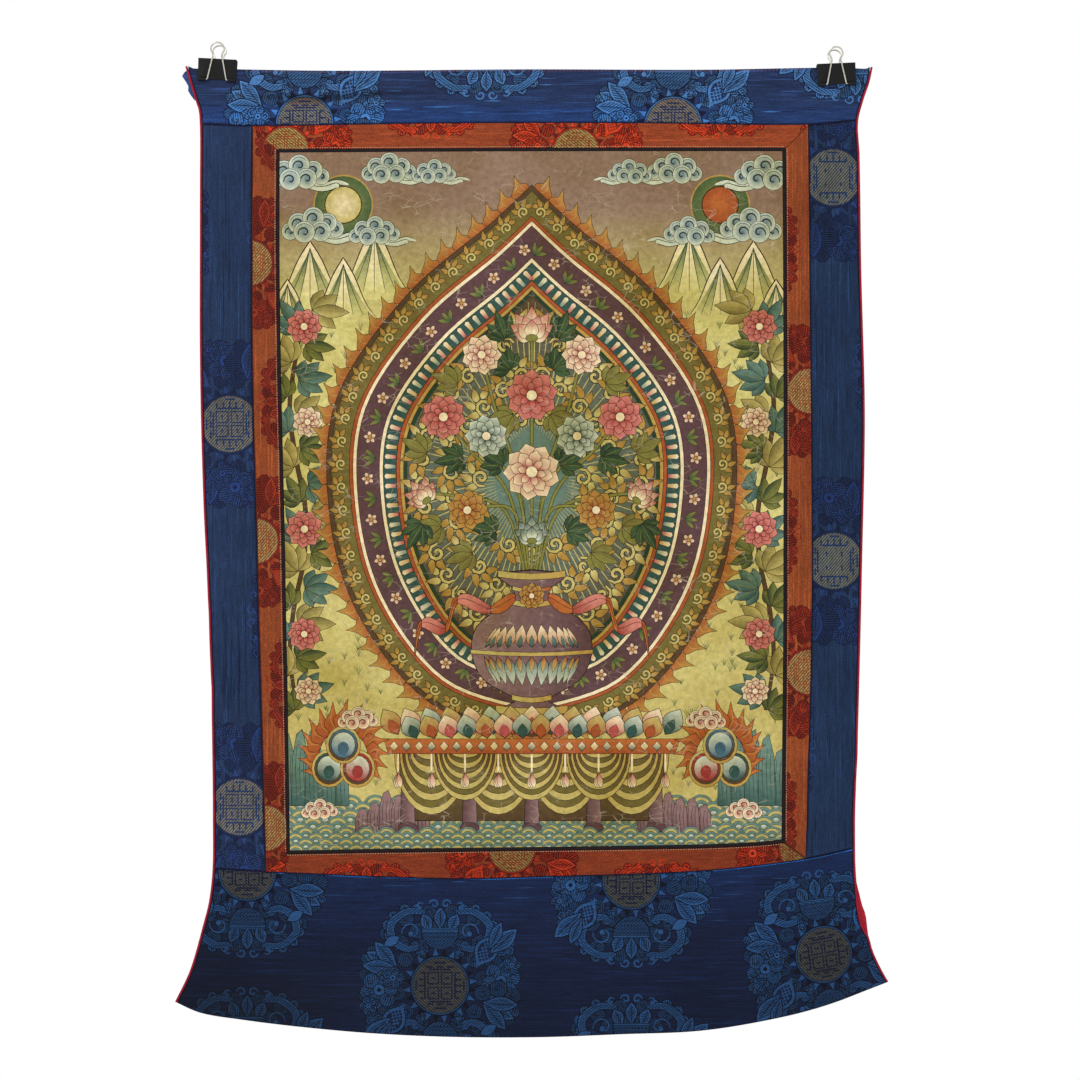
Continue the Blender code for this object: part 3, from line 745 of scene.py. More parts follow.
def noise(tree, spot, per_mm, detail=3.0, stretch=(1.0, 1.0, 1.0), rough=0.55):
    sized = add_node(tree, "ShaderNodeVectorMath", {0: spot, 1: stretch}, operation="MULTIPLY").outputs[0]
    inputs = {"Vector": sized, "Scale": per_mm, "Detail": detail, "Roughness": rough}
    return add_node(tree, "ShaderNodeTexNoise", inputs).outputs["Fac"]


def spread(tree, value, low, high, to_low=0.0, to_high=1.0):
    inputs = {"Value": value, "From Min": low, "From Max": high, "To Min": to_low, "To Max": to_high}
    return add_node(tree, "ShaderNodeMapRange", inputs, clamp=True).outputs[0]


def threads(tree, spot, pitch):
    """A plain weave's height: ribs both ways, in turn over and under."""
    parts = add_node(tree, "ShaderNodeSeparateXYZ", {0: spot})
    turns = 2 * math.pi / pitch
    across = calc(tree, "SINE", calc(tree, "MULTIPLY", parts.outputs[0], turns))
    upward = calc(tree, "SINE", calc(tree, "MULTIPLY", parts.outputs[1], turns))
    return calc(tree, "MULTIPLY", across, upward)


def add_bump(tree, shader, height, depth_mm):
    inputs = {"Height": height, "Distance": depth_mm * MM, "Strength": 1.0}
    tree.links.new(add_node(tree, "ShaderNodeBump", inputs).outputs[0], shader.inputs["Normal"])

# %% [markdown]
# ### Silk brocade
# Brocade is woven with an extra silk weft that floats over the ground to make its figure. Up close the
# floats are slanting lines with a shadow beside each. The lines come from the drawing, the weave is a small
# bump on top, and uneven threads run along or up the cloth as it was cut.

# %% Silk brocade
HATCH_MM = 1.9
THREAD_MM = 0.45


def brocade_finish(name, streak, hatch_depth=0.74):
    """Woven silk. streak stretches its uneven threads across or up the cloth."""
    material, tree, shader = new_finish(name, 0.6)
    spot = flat_mm(tree)
    tone = add_node(tree, "ShaderNodeAttribute", attribute_name="tone")
    lines_map = add_node(tree, "ShaderNodeUVMap", uv_map="lines").outputs[0]
    lines = add_node(tree, "ShaderNodeSeparateXYZ", {0: lines_map})
    wave = calc(tree, "SINE", calc(tree, "MULTIPLY", lines.outputs[0], 2 * math.pi / (HATCH_MM * MM)))
    hatch = calc(tree, "MULTIPLY", spread(tree, wave, -0.7, 0.7), lines.outputs[1])
    uneven = noise(tree, spot, 0.35, 4.0, streak)
    fine = noise(tree, spot, 1.1, 2.0, streak)
    worn = noise(tree, spot, 0.018, 3.0)
    thick_threads = spread(tree, uneven, 0.3, 0.7, 0.78, 1.2)
    thin_threads = spread(tree, fine, 0.3, 0.7, 0.8, 1.2)
    light = calc(tree, "MULTIPLY", thick_threads, thin_threads)
    light = calc(tree, "MULTIPLY", light, spread(tree, worn, 0.3, 0.7, 0.86, 1.12))
    light = calc(tree, "MULTIPLY", light, spread(tree, hatch, 0.0, 1.0, 1.0, 1.0 - hatch_depth))
    speck = spread(tree, noise(tree, spot, 0.8, 3.0, rough=0.7), 0.35, 0.65, -0.38, 0.22)
    light = calc(tree, "MULTIPLY", light, calc(tree, "MULTIPLY_ADD", speck, tone.outputs["Alpha"], 1.0))
    grey = add_node(tree, "ShaderNodeCombineColor", {0: light, 1: light, 2: light}).outputs[0]
    tree.links.new(blend(tree, 1.0, tone.outputs["Color"], grey, "MULTIPLY"), shader.inputs["Base Color"])
    tree.links.new(spread(tree, tone.outputs["Alpha"], 0, 1, 0.66, 0.46), shader.inputs["Roughness"])
    shader.inputs["Specular IOR Level"].default_value = 0.1
    weave = threads(tree, spot, THREAD_MM)
    height = calc(tree, "ADD", calc(tree, "MULTIPLY", weave, 0.4), calc(tree, "MULTIPLY", hatch, -1.0))
    add_bump(tree, shader, height, 0.06)
    return material


blue_silk = brocade_finish("blue_silk_brocade", (0.12, 1.0, 1.0))
blue_silk_turned = brocade_finish("blue_silk_brocade_turned", (1.0, 0.12, 1.0))
orange_silk = brocade_finish("orange_silk_brocade", (0.2, 1.0, 1.0))
orange_silk_turned = brocade_finish("orange_silk_brocade_turned", (1.0, 0.2, 1.0))
print("hatch", HATCH_MM, "mm, thread", THREAD_MM, "mm")

# %% [markdown]
# ### Painted cotton
# The picture is painted in mineral colours and glue on primed cotton. Smoke browns it in clouds, rolling
# cracks it in short lines, and rubbing wears it to the ground in places. Each is one noise or cell pattern
# at its real size, laid over the painter's colours.

# %% Painted cotton
def painted_finish():
    """Opaque colour in glue on cotton: browned, rubbed, and cracked across by rolling."""
    material, tree, shader = new_finish("painted_cotton", 0.78)
    spot = flat_mm(tree)
    tone = add_node(tree, "ShaderNodeAttribute", attribute_name="tone").outputs["Color"]
    smoke = spread(tree, noise(tree, spot, 0.012, 4.0), 0.35, 0.68)
    mottle = spread(tree, noise(tree, spot, 0.22, 5.0, rough=0.7), 0.3, 0.7, 0.74, 1.2)
    mottled = add_node(tree, "ShaderNodeCombineColor", {0: mottle, 1: mottle, 2: mottle}).outputs[0]
    colour = blend(tree, 1.0, tone, mottled, "MULTIPLY")
    browned = blend(tree, 0.9, colour, (0.66, 0.6, 0.36, 1.0), "MULTIPLY")
    colour = blend(tree, smoke, colour, browned)
    wide = add_node(tree, "ShaderNodeVectorMath", {0: spot, 1: (0.5, 1.0, 1.0)}, operation="MULTIPLY")
    cell_inputs = {"Vector": wide.outputs[0], "Scale": 0.16}
    cells = add_node(tree, "ShaderNodeTexVoronoi", cell_inputs, feature="DISTANCE_TO_EDGE")
    crack = spread(tree, cells.outputs["Distance"], 0.012, 0.03, 1.0, 0.0)
    crack = calc(tree, "MULTIPLY", crack, spread(tree, noise(tree, spot, 0.05, 2.0), 0.52, 0.62))
    colour = blend(tree, calc(tree, "MULTIPLY", crack, 0.4), colour, (0.5, 0.46, 0.33, 1.0))
    rubbed = spread(tree, noise(tree, spot, 0.5, 6.0, (0.35, 1.0, 1.0), 0.75), 0.66, 0.74)
    colour = blend(tree, calc(tree, "MULTIPLY", rubbed, 0.5), colour, (0.42, 0.4, 0.28, 1.0))
    aged = blend(tree, 1.0, colour, (1.08, 0.99, 0.95, 1.0), "MULTIPLY")
    tree.links.new(aged, shader.inputs["Base Color"])
    shader.inputs["Specular IOR Level"].default_value = 0.08
    height = calc(tree, "SUBTRACT", threads(tree, spot, 0.7), crack)
    add_bump(tree, shader, height, 0.05)
    return material


painted_cotton = painted_finish()
print("nodes in the painted finish", len(painted_cotton.node_tree.nodes))

# %% [markdown]
# ### Plain cloth, thread and metal
# The lining, the edging, the piping and the threads are plain-woven or twisted, so one finish serves them
# all. The clips are spring steel with black enamel and nickel-bright wire, both a little rubbed.

# %% Plain silks, black steel and wire
def plain_cloth(name, colour, thread_mm, roughness, coordinates):
    material, tree, shader = new_finish(name, roughness)
    spot = coordinates(tree)
    uneven = spread(tree, noise(tree, spot, 0.2, 5.0), 0.3, 0.7, 0.75, 1.2)
    shade = add_node(tree, "ShaderNodeCombineColor", {0: uneven, 1: uneven, 2: uneven}).outputs[0]
    tree.links.new(blend(tree, 1.0, (*colour, 1.0), shade, "MULTIPLY"), shader.inputs["Base Color"])
    shader.inputs["Specular IOR Level"].default_value = 0.12
    add_bump(tree, shader, threads(tree, spot, thread_mm), 0.05)
    return material


def steel(name, colour, roughness, metallic):
    material, tree, shader = new_finish(name, roughness, metallic)
    spot = object_mm(tree)
    tone = spread(tree, noise(tree, spot, 0.4, 4.0), 0.3, 0.7, 0.8, 1.15)
    shade = add_node(tree, "ShaderNodeCombineColor", {0: tone, 1: tone, 2: tone}).outputs[0]
    tree.links.new(blend(tree, 1.0, (*colour, 1.0), shade, "MULTIPLY"), shader.inputs["Base Color"])
    rub = noise(tree, spot, 2.5, 3.0)
    tree.links.new(spread(tree, rub, 0.3, 0.7, roughness * 0.8, roughness * 1.25), shader.inputs["Roughness"])
    shader.inputs["Specular IOR Level"].default_value = 0.5 if metallic else 0.18
    add_bump(tree, shader, rub, 0.01)
    return material


red_silk = plain_cloth("red_silk", rgb(168, 28, 48), 0.5, 0.6, flat_mm)
red_edging = plain_cloth("red_edging", rgb(150, 26, 44), 0.5, 0.6, object_mm)
black_silk = plain_cloth("black_silk", rgb(22, 21, 24), 0.5, 0.6, object_mm)
cream_thread = plain_cloth("cream_thread", rgb(206, 186, 150), 0.3, 0.7, object_mm)
dark_thread = plain_cloth("dark_thread", rgb(16, 18, 36), 0.3, 0.7, object_mm)
black_steel = steel("black_steel", rgb(15, 15, 17), 0.45, 0.0)
wire_steel = steel("wire_steel", rgb(198, 194, 184), 0.26, 1.0)
print("finishes", len(bpy.data.materials))


# %% [markdown]
# ## The painting
# A painter draws such a picture from known parts: clouds, hills, waves, flames, flowers and leaves, each
# with a fixed way to draw it. Flat colour goes on first, then shading from one edge, then a thin dark
# line. Here a vase of peonies and lotuses stands before a pointed glory in a landscape. It is a new
# picture of common motifs, in the colours and the scale of the old one.

# %% Pigments and small parts
PAINT = {
    "ground": rgb(206, 204, 132), "straw": rgb(190, 180, 110), "gold": rgb(178, 148, 74),
    "ochre": rgb(150, 118, 52), "olive": rgb(112, 104, 54), "bark": rgb(84, 66, 44),
    "rust": rgb(160, 84, 46), "flame": rgb(184, 110, 56),
    "plum": rgb(92, 68, 72), "mauve": rgb(138, 112, 112), "teal": rgb(52, 84, 78), "sea": rgb(104, 138, 126),
    "green": rgb(70, 98, 66), "leaf": rgb(42, 64, 46), "moss": rgb(128, 132, 66), "pink": rgb(204, 132, 120),
    "red": rgb(158, 58, 54), "rose": rgb(176, 84, 80), "cream": rgb(232, 222, 184), "sky": rgb(70, 108, 128),
    "mist": rgb(198, 212, 190), "night": rgb(40, 50, 56), "dusk": rgb(138, 116, 98),
}
LINE = 0.42


def paint(d, points, first, second=None, axis=None, line=LINE):
    d.fill(points, PAINT[first], None if second is None else PAINT[second], axis, line)


def peony(d, x, z, radius, deep="red", light="pink", turn=0.0):
    """An open flower: rings of petals that pale towards their edges."""
    rings = ((9, 1.0, 0.62, 0), (8, 0.76, 0.56, 20), (6, 0.5, 0.5, 5))
    for count, reach, wide, start in rings:
        for i in range(count):
            with d.moved(x, z, turn=turn + start + 360 * i / count):
                shape = petal(radius * reach, radius * reach * wide, 0.68, 6)
                paint(d, shape, deep, light, ((0, radius * reach * 0.3), (0, radius * reach)))
    paint(d, oval(x, z, radius * 0.2, steps=9), "gold", "cream", ((x, z), radius * 0.2))


def lotus(d, x, z, size, deep="rose", light="cream", turn=0.0):
    """A lotus from the side: back petals first, then the ones that overlap them."""
    with d.moved(x, z, turn=turn):
        for lean, reach in ((-58, 0.85), (58, 0.85), (-34, 1.0), (34, 1.0), (0, 1.08), (-74, 0.62),
                            (74, 0.62), (-18, 0.8), (18, 0.8), (-44, 0.66), (44, 0.66), (0, 0.62)):
            with d.moved(turn=lean):
                shape = petal(size * reach, size * 0.46, 0.42, 7)
                paint(d, shape, light, deep, ((0, size * reach * 0.35), (0, size * reach)))
                d.stroke([(0, size * 0.2), (0, size * reach * 0.8)], 0.3, PAINT[deep], 0.5)
        paint(d, oval(0, 0, size * 0.2, size * 0.12, 10), "moss")


def leaf_group(d, x, z, size, turn, dark="leaf", light="green", count=5):
    """A toothed leaf made of pointed lobes about one stalk, each with its vein."""
    with d.moved(x, z, turn=turn):
        leans = (-66, 66, -34, 34, 0)[-count:]
        for lean in leans:
            reach = size * (1.0 - abs(lean) / 170)
            with d.moved(turn=lean):
                shape = petal(reach, size * 0.36, 0.5, 6)
                paint(d, shape, dark, light, ((-size * 0.18, 0), (size * 0.2, 0)))
                d.stroke([(0, 0), (0, reach * 0.5), (0, reach * 0.9)], 0.35, PAINT["moss"], 0.7)


def stem(d, points, width=1.6, colour="bark"):
    path = curve(points, 5)
    d.stroke(path, width + 2 * LINE, INK, 0.3)
    d.stroke(path, width, PAINT[colour], 0.3)


def scroll(d, x, z, size, turn, colour="gold", flip=False):
    """Curled foliage: a spiral with little leaves off its back."""
    with d.moved(x, z, size, turn, flip):
        for lean, reach in ((150, 0.75), (105, 0.9), (60, 0.85), (20, 0.7)):
            a = math.radians(lean)
            with d.moved(0.42 * math.cos(a), 0.42 * math.sin(a), turn=lean - 115):
                paint(d, petal(reach, 0.42, 0.4, 5, 0.18), colour, "ochre", ((0, 0), (0, reach)))
        path = arc(0, 0, 0.5, 200, -260, 12, 0.08)
        d.stroke(path, 0.28, INK, 0.4)
        d.stroke(path, 0.17, PAINT["straw"], 0.4)


def cloud(d, x, z, size, flip=False, deep="sky", light="mist", tail=True):
    """Puffs that shade from a light rim to a dark heart, with a curl in each and a trailing tail."""
    puffs = ((1.15, 0.1, 0.4), (-1.1, 0.0, 0.42), (0.75, 0.42, 0.46), (-0.7, 0.4, 0.5), (0.05, 0.66, 0.52),
             (0.42, 0.0, 0.5), (-0.4, -0.04, 0.52))
    with d.moved(x, z, size, 0, flip):
        if tail:
            for drop, reach in ((-0.2, 2.5), (-0.36, 1.9)):
                run = curve([(0.3, drop), (1.2, drop - 0.16), (1.9, drop + 0.02), (reach, drop - 0.1)], 4)
                d.stroke(run, 0.3, INK, 0.8)
                d.stroke(run, 0.22, PAINT[light], 0.8)
        for px, pz, radius in puffs:
            ring = oval(px, pz, radius, steps=16)
            d.fill(ring, PAINT[deep], PAINT[light], ((px, pz), radius * 1.02), LINE, PAINT["night"])
            curl = arc(px, pz - radius * 0.05, radius * 0.62, 200, -120, 12, radius * 0.12)
            d.stroke(curl, 0.075, PAINT["night"], 0.4)
            d.stroke(arc(px, pz, radius * 0.8, 160, 30, 7), 0.035, PAINT["sky"], 0.6)


def hill(d, x, z, wide, tall, deep="ground", light="cream"):
    """A pointed hill, bare at its tip, with ridge lines that fall from it."""
    outline = curve([(-wide, 0), (-wide * 0.62, tall * 0.3), (-wide * 0.3, tall * 0.72), (0, tall)], 5)
    outline = np.concatenate([outline, outline[-2::-1] * [-1, 1]])
    with d.moved(x, z):
        d.fill(outline, PAINT[deep], PAINT[light], ((0, tall * 0.1), (0, tall * 0.95)))
        for side in (-1, 1):
            slope = np.array([(0, 0.86), (0.34, 0.5), (0.86, 0), (0.3, 0)]) * [side * wide, tall]
            d.fill(slope, PAINT[deep], PAINT["green"], ((0, tall * 0.04), (0, tall * 0.8)))
        d.stroke(outline, 0.9, INK, 0.95)
        for lean in (-0.55, -0.28, 0.0, 0.28, 0.55):
            d.stroke(curve([(0, tall * 0.9), (wide * lean * 0.4, tall * 0.55), (wide * lean, tall * 0.1)], 4),
                     0.5, PAINT["leaf"], 0.7)


def rock(d, x, z, wide, tall, deep="teal", light="sea", seed=1):
    """A crag of upright slabs, each lit from one side."""
    rng = np.random.default_rng(seed)
    slabs = 6
    for i in (0, 5, 1, 4, 2, 3):
        left = x - wide + 2 * wide * i / slabs
        width = 2 * wide / slabs * 1.25
        top = tall * (0.55 + 0.45 * math.sin(math.pi * (i + 0.5) / slabs)) * rng.uniform(0.8, 1.1)
        shape = [(left, z), (left + width * 0.05, z + top * 0.62), (left + width * 0.3, z + top * 0.94),
                 (left + width * 0.62, z + top), (left + width * 0.93, z + top * 0.7), (left + width, z)]
        paint(d, shape, deep, light, ((left, z), (left + width, z + top * 0.5)))
        for k in (0.3, 0.55, 0.78):
            d.stroke([(left + width * k, z + top * 0.08), (left + width * (k - 0.08), z + top * 0.5),
                      (left + width * k, z + top * 0.8)], 0.4, PAINT["night"], 0.6)


def waves(d, box, size):
    """Rows of scale-like waves, each row over the one above it."""
    x0, x1, z0, z1 = box
    rows = int((z1 - z0) / (size * 0.55))
    for row in range(rows, -1, -1):
        z = z0 + row * size * 0.55
        for x in np.arange(x0 + (row % 2) * size, x1 + size, 2 * size):
            for reach, deep, light in ((1.0, "night", "sea"), (0.8, "teal", "straw"), (0.55, "teal", "sea"),
                                       (0.26, "night", "mist")):
                shape = arc(x, z, size * reach, 0, 180, 9)
                d.fill(shape, PAINT[deep], PAINT[light], ((x, z), size * reach), 0.3, PAINT["night"])


def tongue(d, tall, wide, deep="rust", light="flame"):
    """One tongue of flame from (0, 0) upwards, with a curled tip."""
    left = curve(np.array([(-0.5, 0), (-0.75, 0.35), (-0.1, 0.65), (0.35, 1)]) * [wide, tall], 4)
    right = curve(np.array([(0.35, 1), (0.3, 0.55), (0.62, 0.3), (0.5, 0)]) * [wide, tall], 4)
    shape = np.concatenate([left, right[1:]])
    paint(d, shape, deep, light, ((0, 0), (0, tall)))
    d.stroke(curve([(0, tall * 0.1), (-wide * 0.2, tall * 0.4), (wide * 0.15, tall * 0.75)], 4), 0.5,
             PAINT["gold"], 0.6)


def tuft(d, x, z, size):
    for lean in (-0.5, -0.15, 0.2, 0.55):
        d.stroke([(x, z), (x + lean * size * 0.4, z + size * 0.55), (x + lean * size, z + size)], 0.4,
                 PAINT["green"], 0.9)


print("pigments", len(PAINT))

# %% [markdown]
# ### The glory
# Behind the vase stands a pointed glory: bands of colour, each a smaller copy of the same outline, with
# scrolls, blossoms and pearls set at an even pitch along them. A painter rules such bands first and then
# works round them, and so does the loop.

# %% The glory
def glory(half, top, base, middle):
    """A closed pointed outline, straight up at its middle height."""
    above, below = top - middle, middle - base
    right = curve([(0, top), (half * 0.2, middle + above * 0.87), (half * 0.62, middle + above * 0.62),
                   (half * 0.96, middle + above * 0.27), (half, middle - below * 0.12),
                   (half * 0.86, middle - below * 0.52), (half * 0.5, middle - below * 0.87), (0, base)], 7)
    return np.concatenate([right, right[-2:0:-1] * [-1, 1]])


def along(path, count):
    """Evenly spaced places round a closed outline, with the turn that points outwards at each."""
    closed = np.concatenate([path, path[:1]])
    length = np.concatenate([[0], np.cumsum(np.linalg.norm(np.diff(closed, axis=0), axis=1))])
    at = (np.arange(count) + 0.5) / count * length[-1]
    x, z = np.interp(at, length, closed[:, 0]), np.interp(at, length, closed[:, 1])
    ahead = np.stack([np.interp((at + 2) % length[-1], length, closed[:, 0]) - x,
                      np.interp((at + 2) % length[-1], length, closed[:, 1]) - z], 1)
    turn = np.degrees(np.arctan2(ahead[:, 1], ahead[:, 0])) + (90 if signed_area(path) < 0 else -90) - 90
    return zip(x, z, turn)


def paint_glory(d):
    outer = glory(168, 262, -196, 20)
    for x, z, turn in along(outer, 74):
        with d.moved(x, z, turn=turn, flip=x > 0):
            tongue(d, 17, 12, "rust", "gold")
    bands = ((170, 264, -198, "bark"), (166, 259, -194, "olive"), (151, 238, -180, "rust"),
             (148, 234, -177, "cream"), (145, 230, -174, "plum"), (126, 203, -155, "cream"),
             (123, 199, -152, "teal"), (112, 184, -141, "rust"), (109, 180, -138, "gold"),
             (106, 176, -135, "leaf"))
    for half, top, base, colour in bands:
        paint(d, glory(half, top, base, 20), colour)
    for x, z, turn in along(glory(158, 248, -187, 20), 60):
        scroll(d, x, z, 9.6, turn, "gold", x > 0)
    for number, (x, z, turn) in enumerate(along(glory(136, 216, -164, 20), 58)):
        with d.moved(x, z, turn=turn):
            if number % 2:
                for k in range(5):
                    with d.moved(turn=72 * k):
                        d.fill(petal(5.2, 3.2, 0.6, 5), PAINT["rose"], PAINT["cream"], ((0, 0), (0, 5)), 0.3)
                paint(d, oval(0, 0, 1.3, steps=7), "gold")
            else:
                for lean in (-40, 0, 40):
                    with d.moved(0, -6, turn=lean):
                        d.fill(petal(11, 3.4, 0.5, 5), PAINT["green"], PAINT["moss"], ((0, 0), (0, 11)), 0.3)
    for number, (x, z, turn) in enumerate(along(glory(117, 191, -146, 20), 108)):
        with d.moved(x, z, turn=turn):
            colour = ("gold", "sea", "rose")[number % 3]
            pearl = [(-1.3, -4.2), (1.3, -4.2), (2.0, 4.0), (0, 5.2), (-2.0, 4.0)]
            d.fill(pearl, PAINT[colour], PAINT["cream"], ((0, -4), (0, 5)), 0.3)


def paint_rays(d):
    """Inside the glory, thin gold rays and curled foliage cover the dark ground."""
    inner = glory(103, 172, -132, 20)
    d.fill(inner, PAINT["sea"], PAINT["bark"], ((0, 20), 150.0))
    for x, z, turn in along(glory(101, 169, -130, 20), 96):
        run = np.array([x, z - 20])
        d.stroke([run * 0.3 + [0, 20], run * 0.65 + [0, 20], run + [0, 20]], 0.9, PAINT["straw"], 0.8)
    rings = ((90, 150, -112, 34), (66, 112, -80, 24), (42, 74, -44, 15))
    for ring, (half, top, base, count) in enumerate(rings):
        for number, (x, z, turn) in enumerate(along(glory(half, top, base, 20), count)):
            scroll(d, x, z, 15, turn + 40 * (ring % 2), "ground" if number % 2 else "gold", number % 2 == 0)

# %% [markdown]
# ### The vase, the throne and the jewels
# The middle is drawn from back to front, as it is painted: stems, leaves, flowers, then the vase that
# holds them, and at last the throne's petals and striped cloth below it.

# %% The vase and its flowers
def paint_vase(d):
    bouquet = ((0, 148), (-42, 122), (42, 122), (-74, 70), (74, 70), (-88, 6), (88, 6), (0, 86), (-38, 54),
               (38, 54), (-54, -8), (54, -8))
    for x, z in bouquet:
        stem(d, [(x * 0.04, -72), (x * 0.25, -10 + z * 0.2), (x * 0.72, z * 0.62), (x, z)], 2.0, "moss")
    leaves = ((18, 110, 40), (62, 98, 70), (58, 36, 100), (88, 40, 60), (24, 30, 60), (76, -22, 110),
              (30, -26, 80), (16, 72, 130), (92, -20, 150), (50, -44, 110), (22, 136, 20))
    for number, (x, z, turn) in enumerate(leaves):
        tone = ("olive", "moss") if number % 2 else ("leaf", "green")
        for side in (-1, 1):
            leaf_group(d, side * x, z, 24, -side * turn, *tone)
    lotus(d, 0, 136, 25, "rose", "cream")
    for x in (-1, 1):
        peony(d, 42 * x, 122, 17, "rose", "cream", 10 * x)
        peony(d, 74 * x, 70, 19, "red", "pink", 20 * x)
        peony(d, 38 * x, 54, 18, "teal", "mist", -10 * x)
        lotus(d, 88 * x, 0, 20, "red", "cream", -40 * x)
        peony(d, 54 * x, -8, 17, "rust", "gold", 5 * x)
    peony(d, 0, 88, 22, "red", "pink")
    peony(d, 0, 24, 24, "rose", "cream", 12)
    lotus(d, 0, -34, 20, "teal", "mist")

    body = [(0, -182), (26, -182), (30, -176), (16, -170), (15, -165), (40, -150), (50, -128), (46, -106),
            (26, -90), (16, -84), (15, -74), (26, -66), (28, -61), (0, -59)]
    side = np.concatenate([curve(body[1:-1], 3), body[-1:]])
    shape = np.concatenate([side, side[::-1] * [-1, 1]])
    paint(d, shape, "plum", "mauve", ((48, 0), (-40, 0)), 0.7)
    for height, reach, tall, colour in ((-178, 30, 6, "gold"), (-167, 16.5, 4, "gold"), (-128, 51, 3, "gold"),
                                        (-87, 18, 4, "gold"), (-64, 28, 5, "gold"), (-75, 16, 3, "rust")):
        sag = ((-1, 0), (-0.5, -1.8), (0, -2.4), (0.5, -1.8), (1, 0))
        ring = [(reach * share, height + drop) for share, drop in sag]
        band = np.array(ring + [(x, z + tall) for x, z in reversed(ring)])
        paint(d, band, colour, "straw", ((reach, 0), (-reach, 0)))
    for i in range(-5, 6):
        lean = math.sin(i * math.pi / 12)
        with d.moved(41 * lean, -131, turn=180 - 26 * lean):
            d.fill(petal(24, 9.4 * math.cos(i * math.pi / 14), 0.42, 7), PAINT["teal"], PAINT["mist"],
                   ((0, 0), (0, 24)), LINE)
            d.fill(petal(13, 4.4 * math.cos(i * math.pi / 14), 0.42, 6), PAINT["rust"], PAINT["straw"],
                   ((0, 0), (0, 13)), 0.3)
        with d.moved(40 * lean, -123, turn=30 * lean):
            d.fill(petal(19, 9.0 * math.cos(i * math.pi / 14), 0.42, 7), PAINT["rust"], PAINT["cream"],
                   ((0, 0), (0, 19)), LINE)
            d.fill(petal(10, 4.2 * math.cos(i * math.pi / 14), 0.42, 6), PAINT["teal"], PAINT["sea"],
                   ((0, 0), (0, 10)), 0.3)
    for side_sign in (-1, 1):
        sash = [(14 * side_sign, -82), (34 * side_sign, -92), (62 * side_sign, -84), (72 * side_sign, -108),
                (92 * side_sign, -104), (98 * side_sign, -128)]
        path = curve(sash, 8)
        for bend in range(len(sash) - 2, -1, -1):
            run = path[bend * 8:bend * 8 + 9]
            swell = np.sin(np.linspace(0.12, 1.0 - 0.12, len(run)) * math.pi)[:, None] * [0, 6.4] + [0, 0.6]
            band = np.concatenate([run + swell, (run - swell * 0.7)[::-1]])
            deep, light = ("red", "pink") if bend % 2 else ("rust", "flame")
            paint(d, band, deep, light, (tuple(run[0] - [0, 4]), tuple(run[4] + [0, 5])), 0.5)
            d.stroke(run + swell * 0.3, 0.4, INK, 0.6)
    peony(d, 0, -80, 11, "rust", "gold")


def paint_throne(d):
    """Lotus petals in two rows, a striped cloth over a low table, and its carved legs."""
    d.fill([(-112, -210), (112, -210), (104, -268), (-104, -268)], PAINT["bark"], PAINT["olive"],
           ((0, -268), (0, -210)), 0.7)
    for x in (-104, -52, 0, 52, 104):
        d.fill([(x - 4, -210), (x + 4, -210), (x + 6, -272), (x - 6, -272)], PAINT["plum"], PAINT["mauve"],
               ((x - 6, 0), (x + 6, 0)), 0.5)
        paint(d, oval(x, -274, 8, 4, 14), "plum", "mauve")
    for middle in (-84, -28, 28, 84, -56, 0, 56):
        wide, fall = (31, 52) if middle % 56 else (27, 40)
        for k in range(9):
            share = 1 - k / 9
            swag = arc(0, 0, 1.0, 180, 360, 15) * [wide * (0.35 + 0.65 * share), fall * share]
            deep, light = ("bark", "olive") if k % 2 else ("gold", "straw")
            d.fill(swag + [middle, -211], PAINT[deep], PAINT[light],
                   ((middle, -211), (middle, -211 - fall * share)), 0.45)
    for x in range(-112, 113, 28):
        d.stroke([(x, -211), (x, -220), (x, -229)], 1.6, PAINT["cream"], 0.2)
        for lean in (-0.16, 0, 0.16):
            with d.moved(x, -228, turn=180 + 60 * lean):
                d.fill(petal(13, 4.6, 0.6, 5), PAINT["rose"], PAINT["cream"], ((0, 0), (0, 13)), 0.35)
    paint(d, [(-124, -200), (124, -200), (120, -212), (-120, -212)], "rust", "flame", ((0, -212), (0, -200)))
    for i in range(-11, 12):
        with d.moved(i * 10.5, -206):
            colour = "gold" if i % 2 else "teal"
            paint(d, [(-3.4, 0), (0, 4), (3.4, 0), (0, -4)], colour, "cream", ((0, -4), (0, 4)))
    for row, (height, reach, size) in enumerate(((-196, 112, 24), (-199, 104, 20))):
        for i in range(-7 + row, 8):
            x = reach * (i - row * 0.5) / 7
            with d.moved(x, height, turn=-x * 0.28):
                tones = (("rose", "cream"), ("teal", "mist"), ("rust", "straw"))[(i + row) % 3]
                d.fill(petal(size, 17, 0.5, 8), PAINT[tones[1]], PAINT[tones[0]], ((0, size), (0, 2)), 0.5)
                d.fill(petal(size * 0.6, 8, 0.5, 6), PAINT[tones[0]], line=0.3)


def flaming_jewels(d, x, z, size, flip):
    with d.moved(x, z, size, 0, flip):
        for i in range(15):
            lean = -112 + 16 * i
            a = math.radians(90 - lean)
            with d.moved(0.8 * math.cos(a), 0.9 * math.sin(a), turn=-lean):
                with d.moved(size=1 / size):
                    tongue(d, size * (1.0 - abs(lean) / 260), size * 0.42, "rust", "flame")
        for px, pz, deep in ((-0.46, -0.34, "teal"), (0.46, -0.34, "red"), (0, 0.42, "sky")):
            for reach, first, second in ((0.56, "gold", "straw"), (0.47, "bark", deep), (0.38, deep, "mist")):
                d.fill(oval(px, pz, reach, reach * 1.08, 16), PAINT[first], PAINT[second],
                       ((px - 0.1, pz - reach * 0.8), (px + 0.1, pz + reach)), 0.35)
            d.fill(oval(px, pz - 0.1, 0.17, 0.2, 9), PAINT["night"], PAINT[deep], ((px, pz - 0.1), 0.2), 0.25)


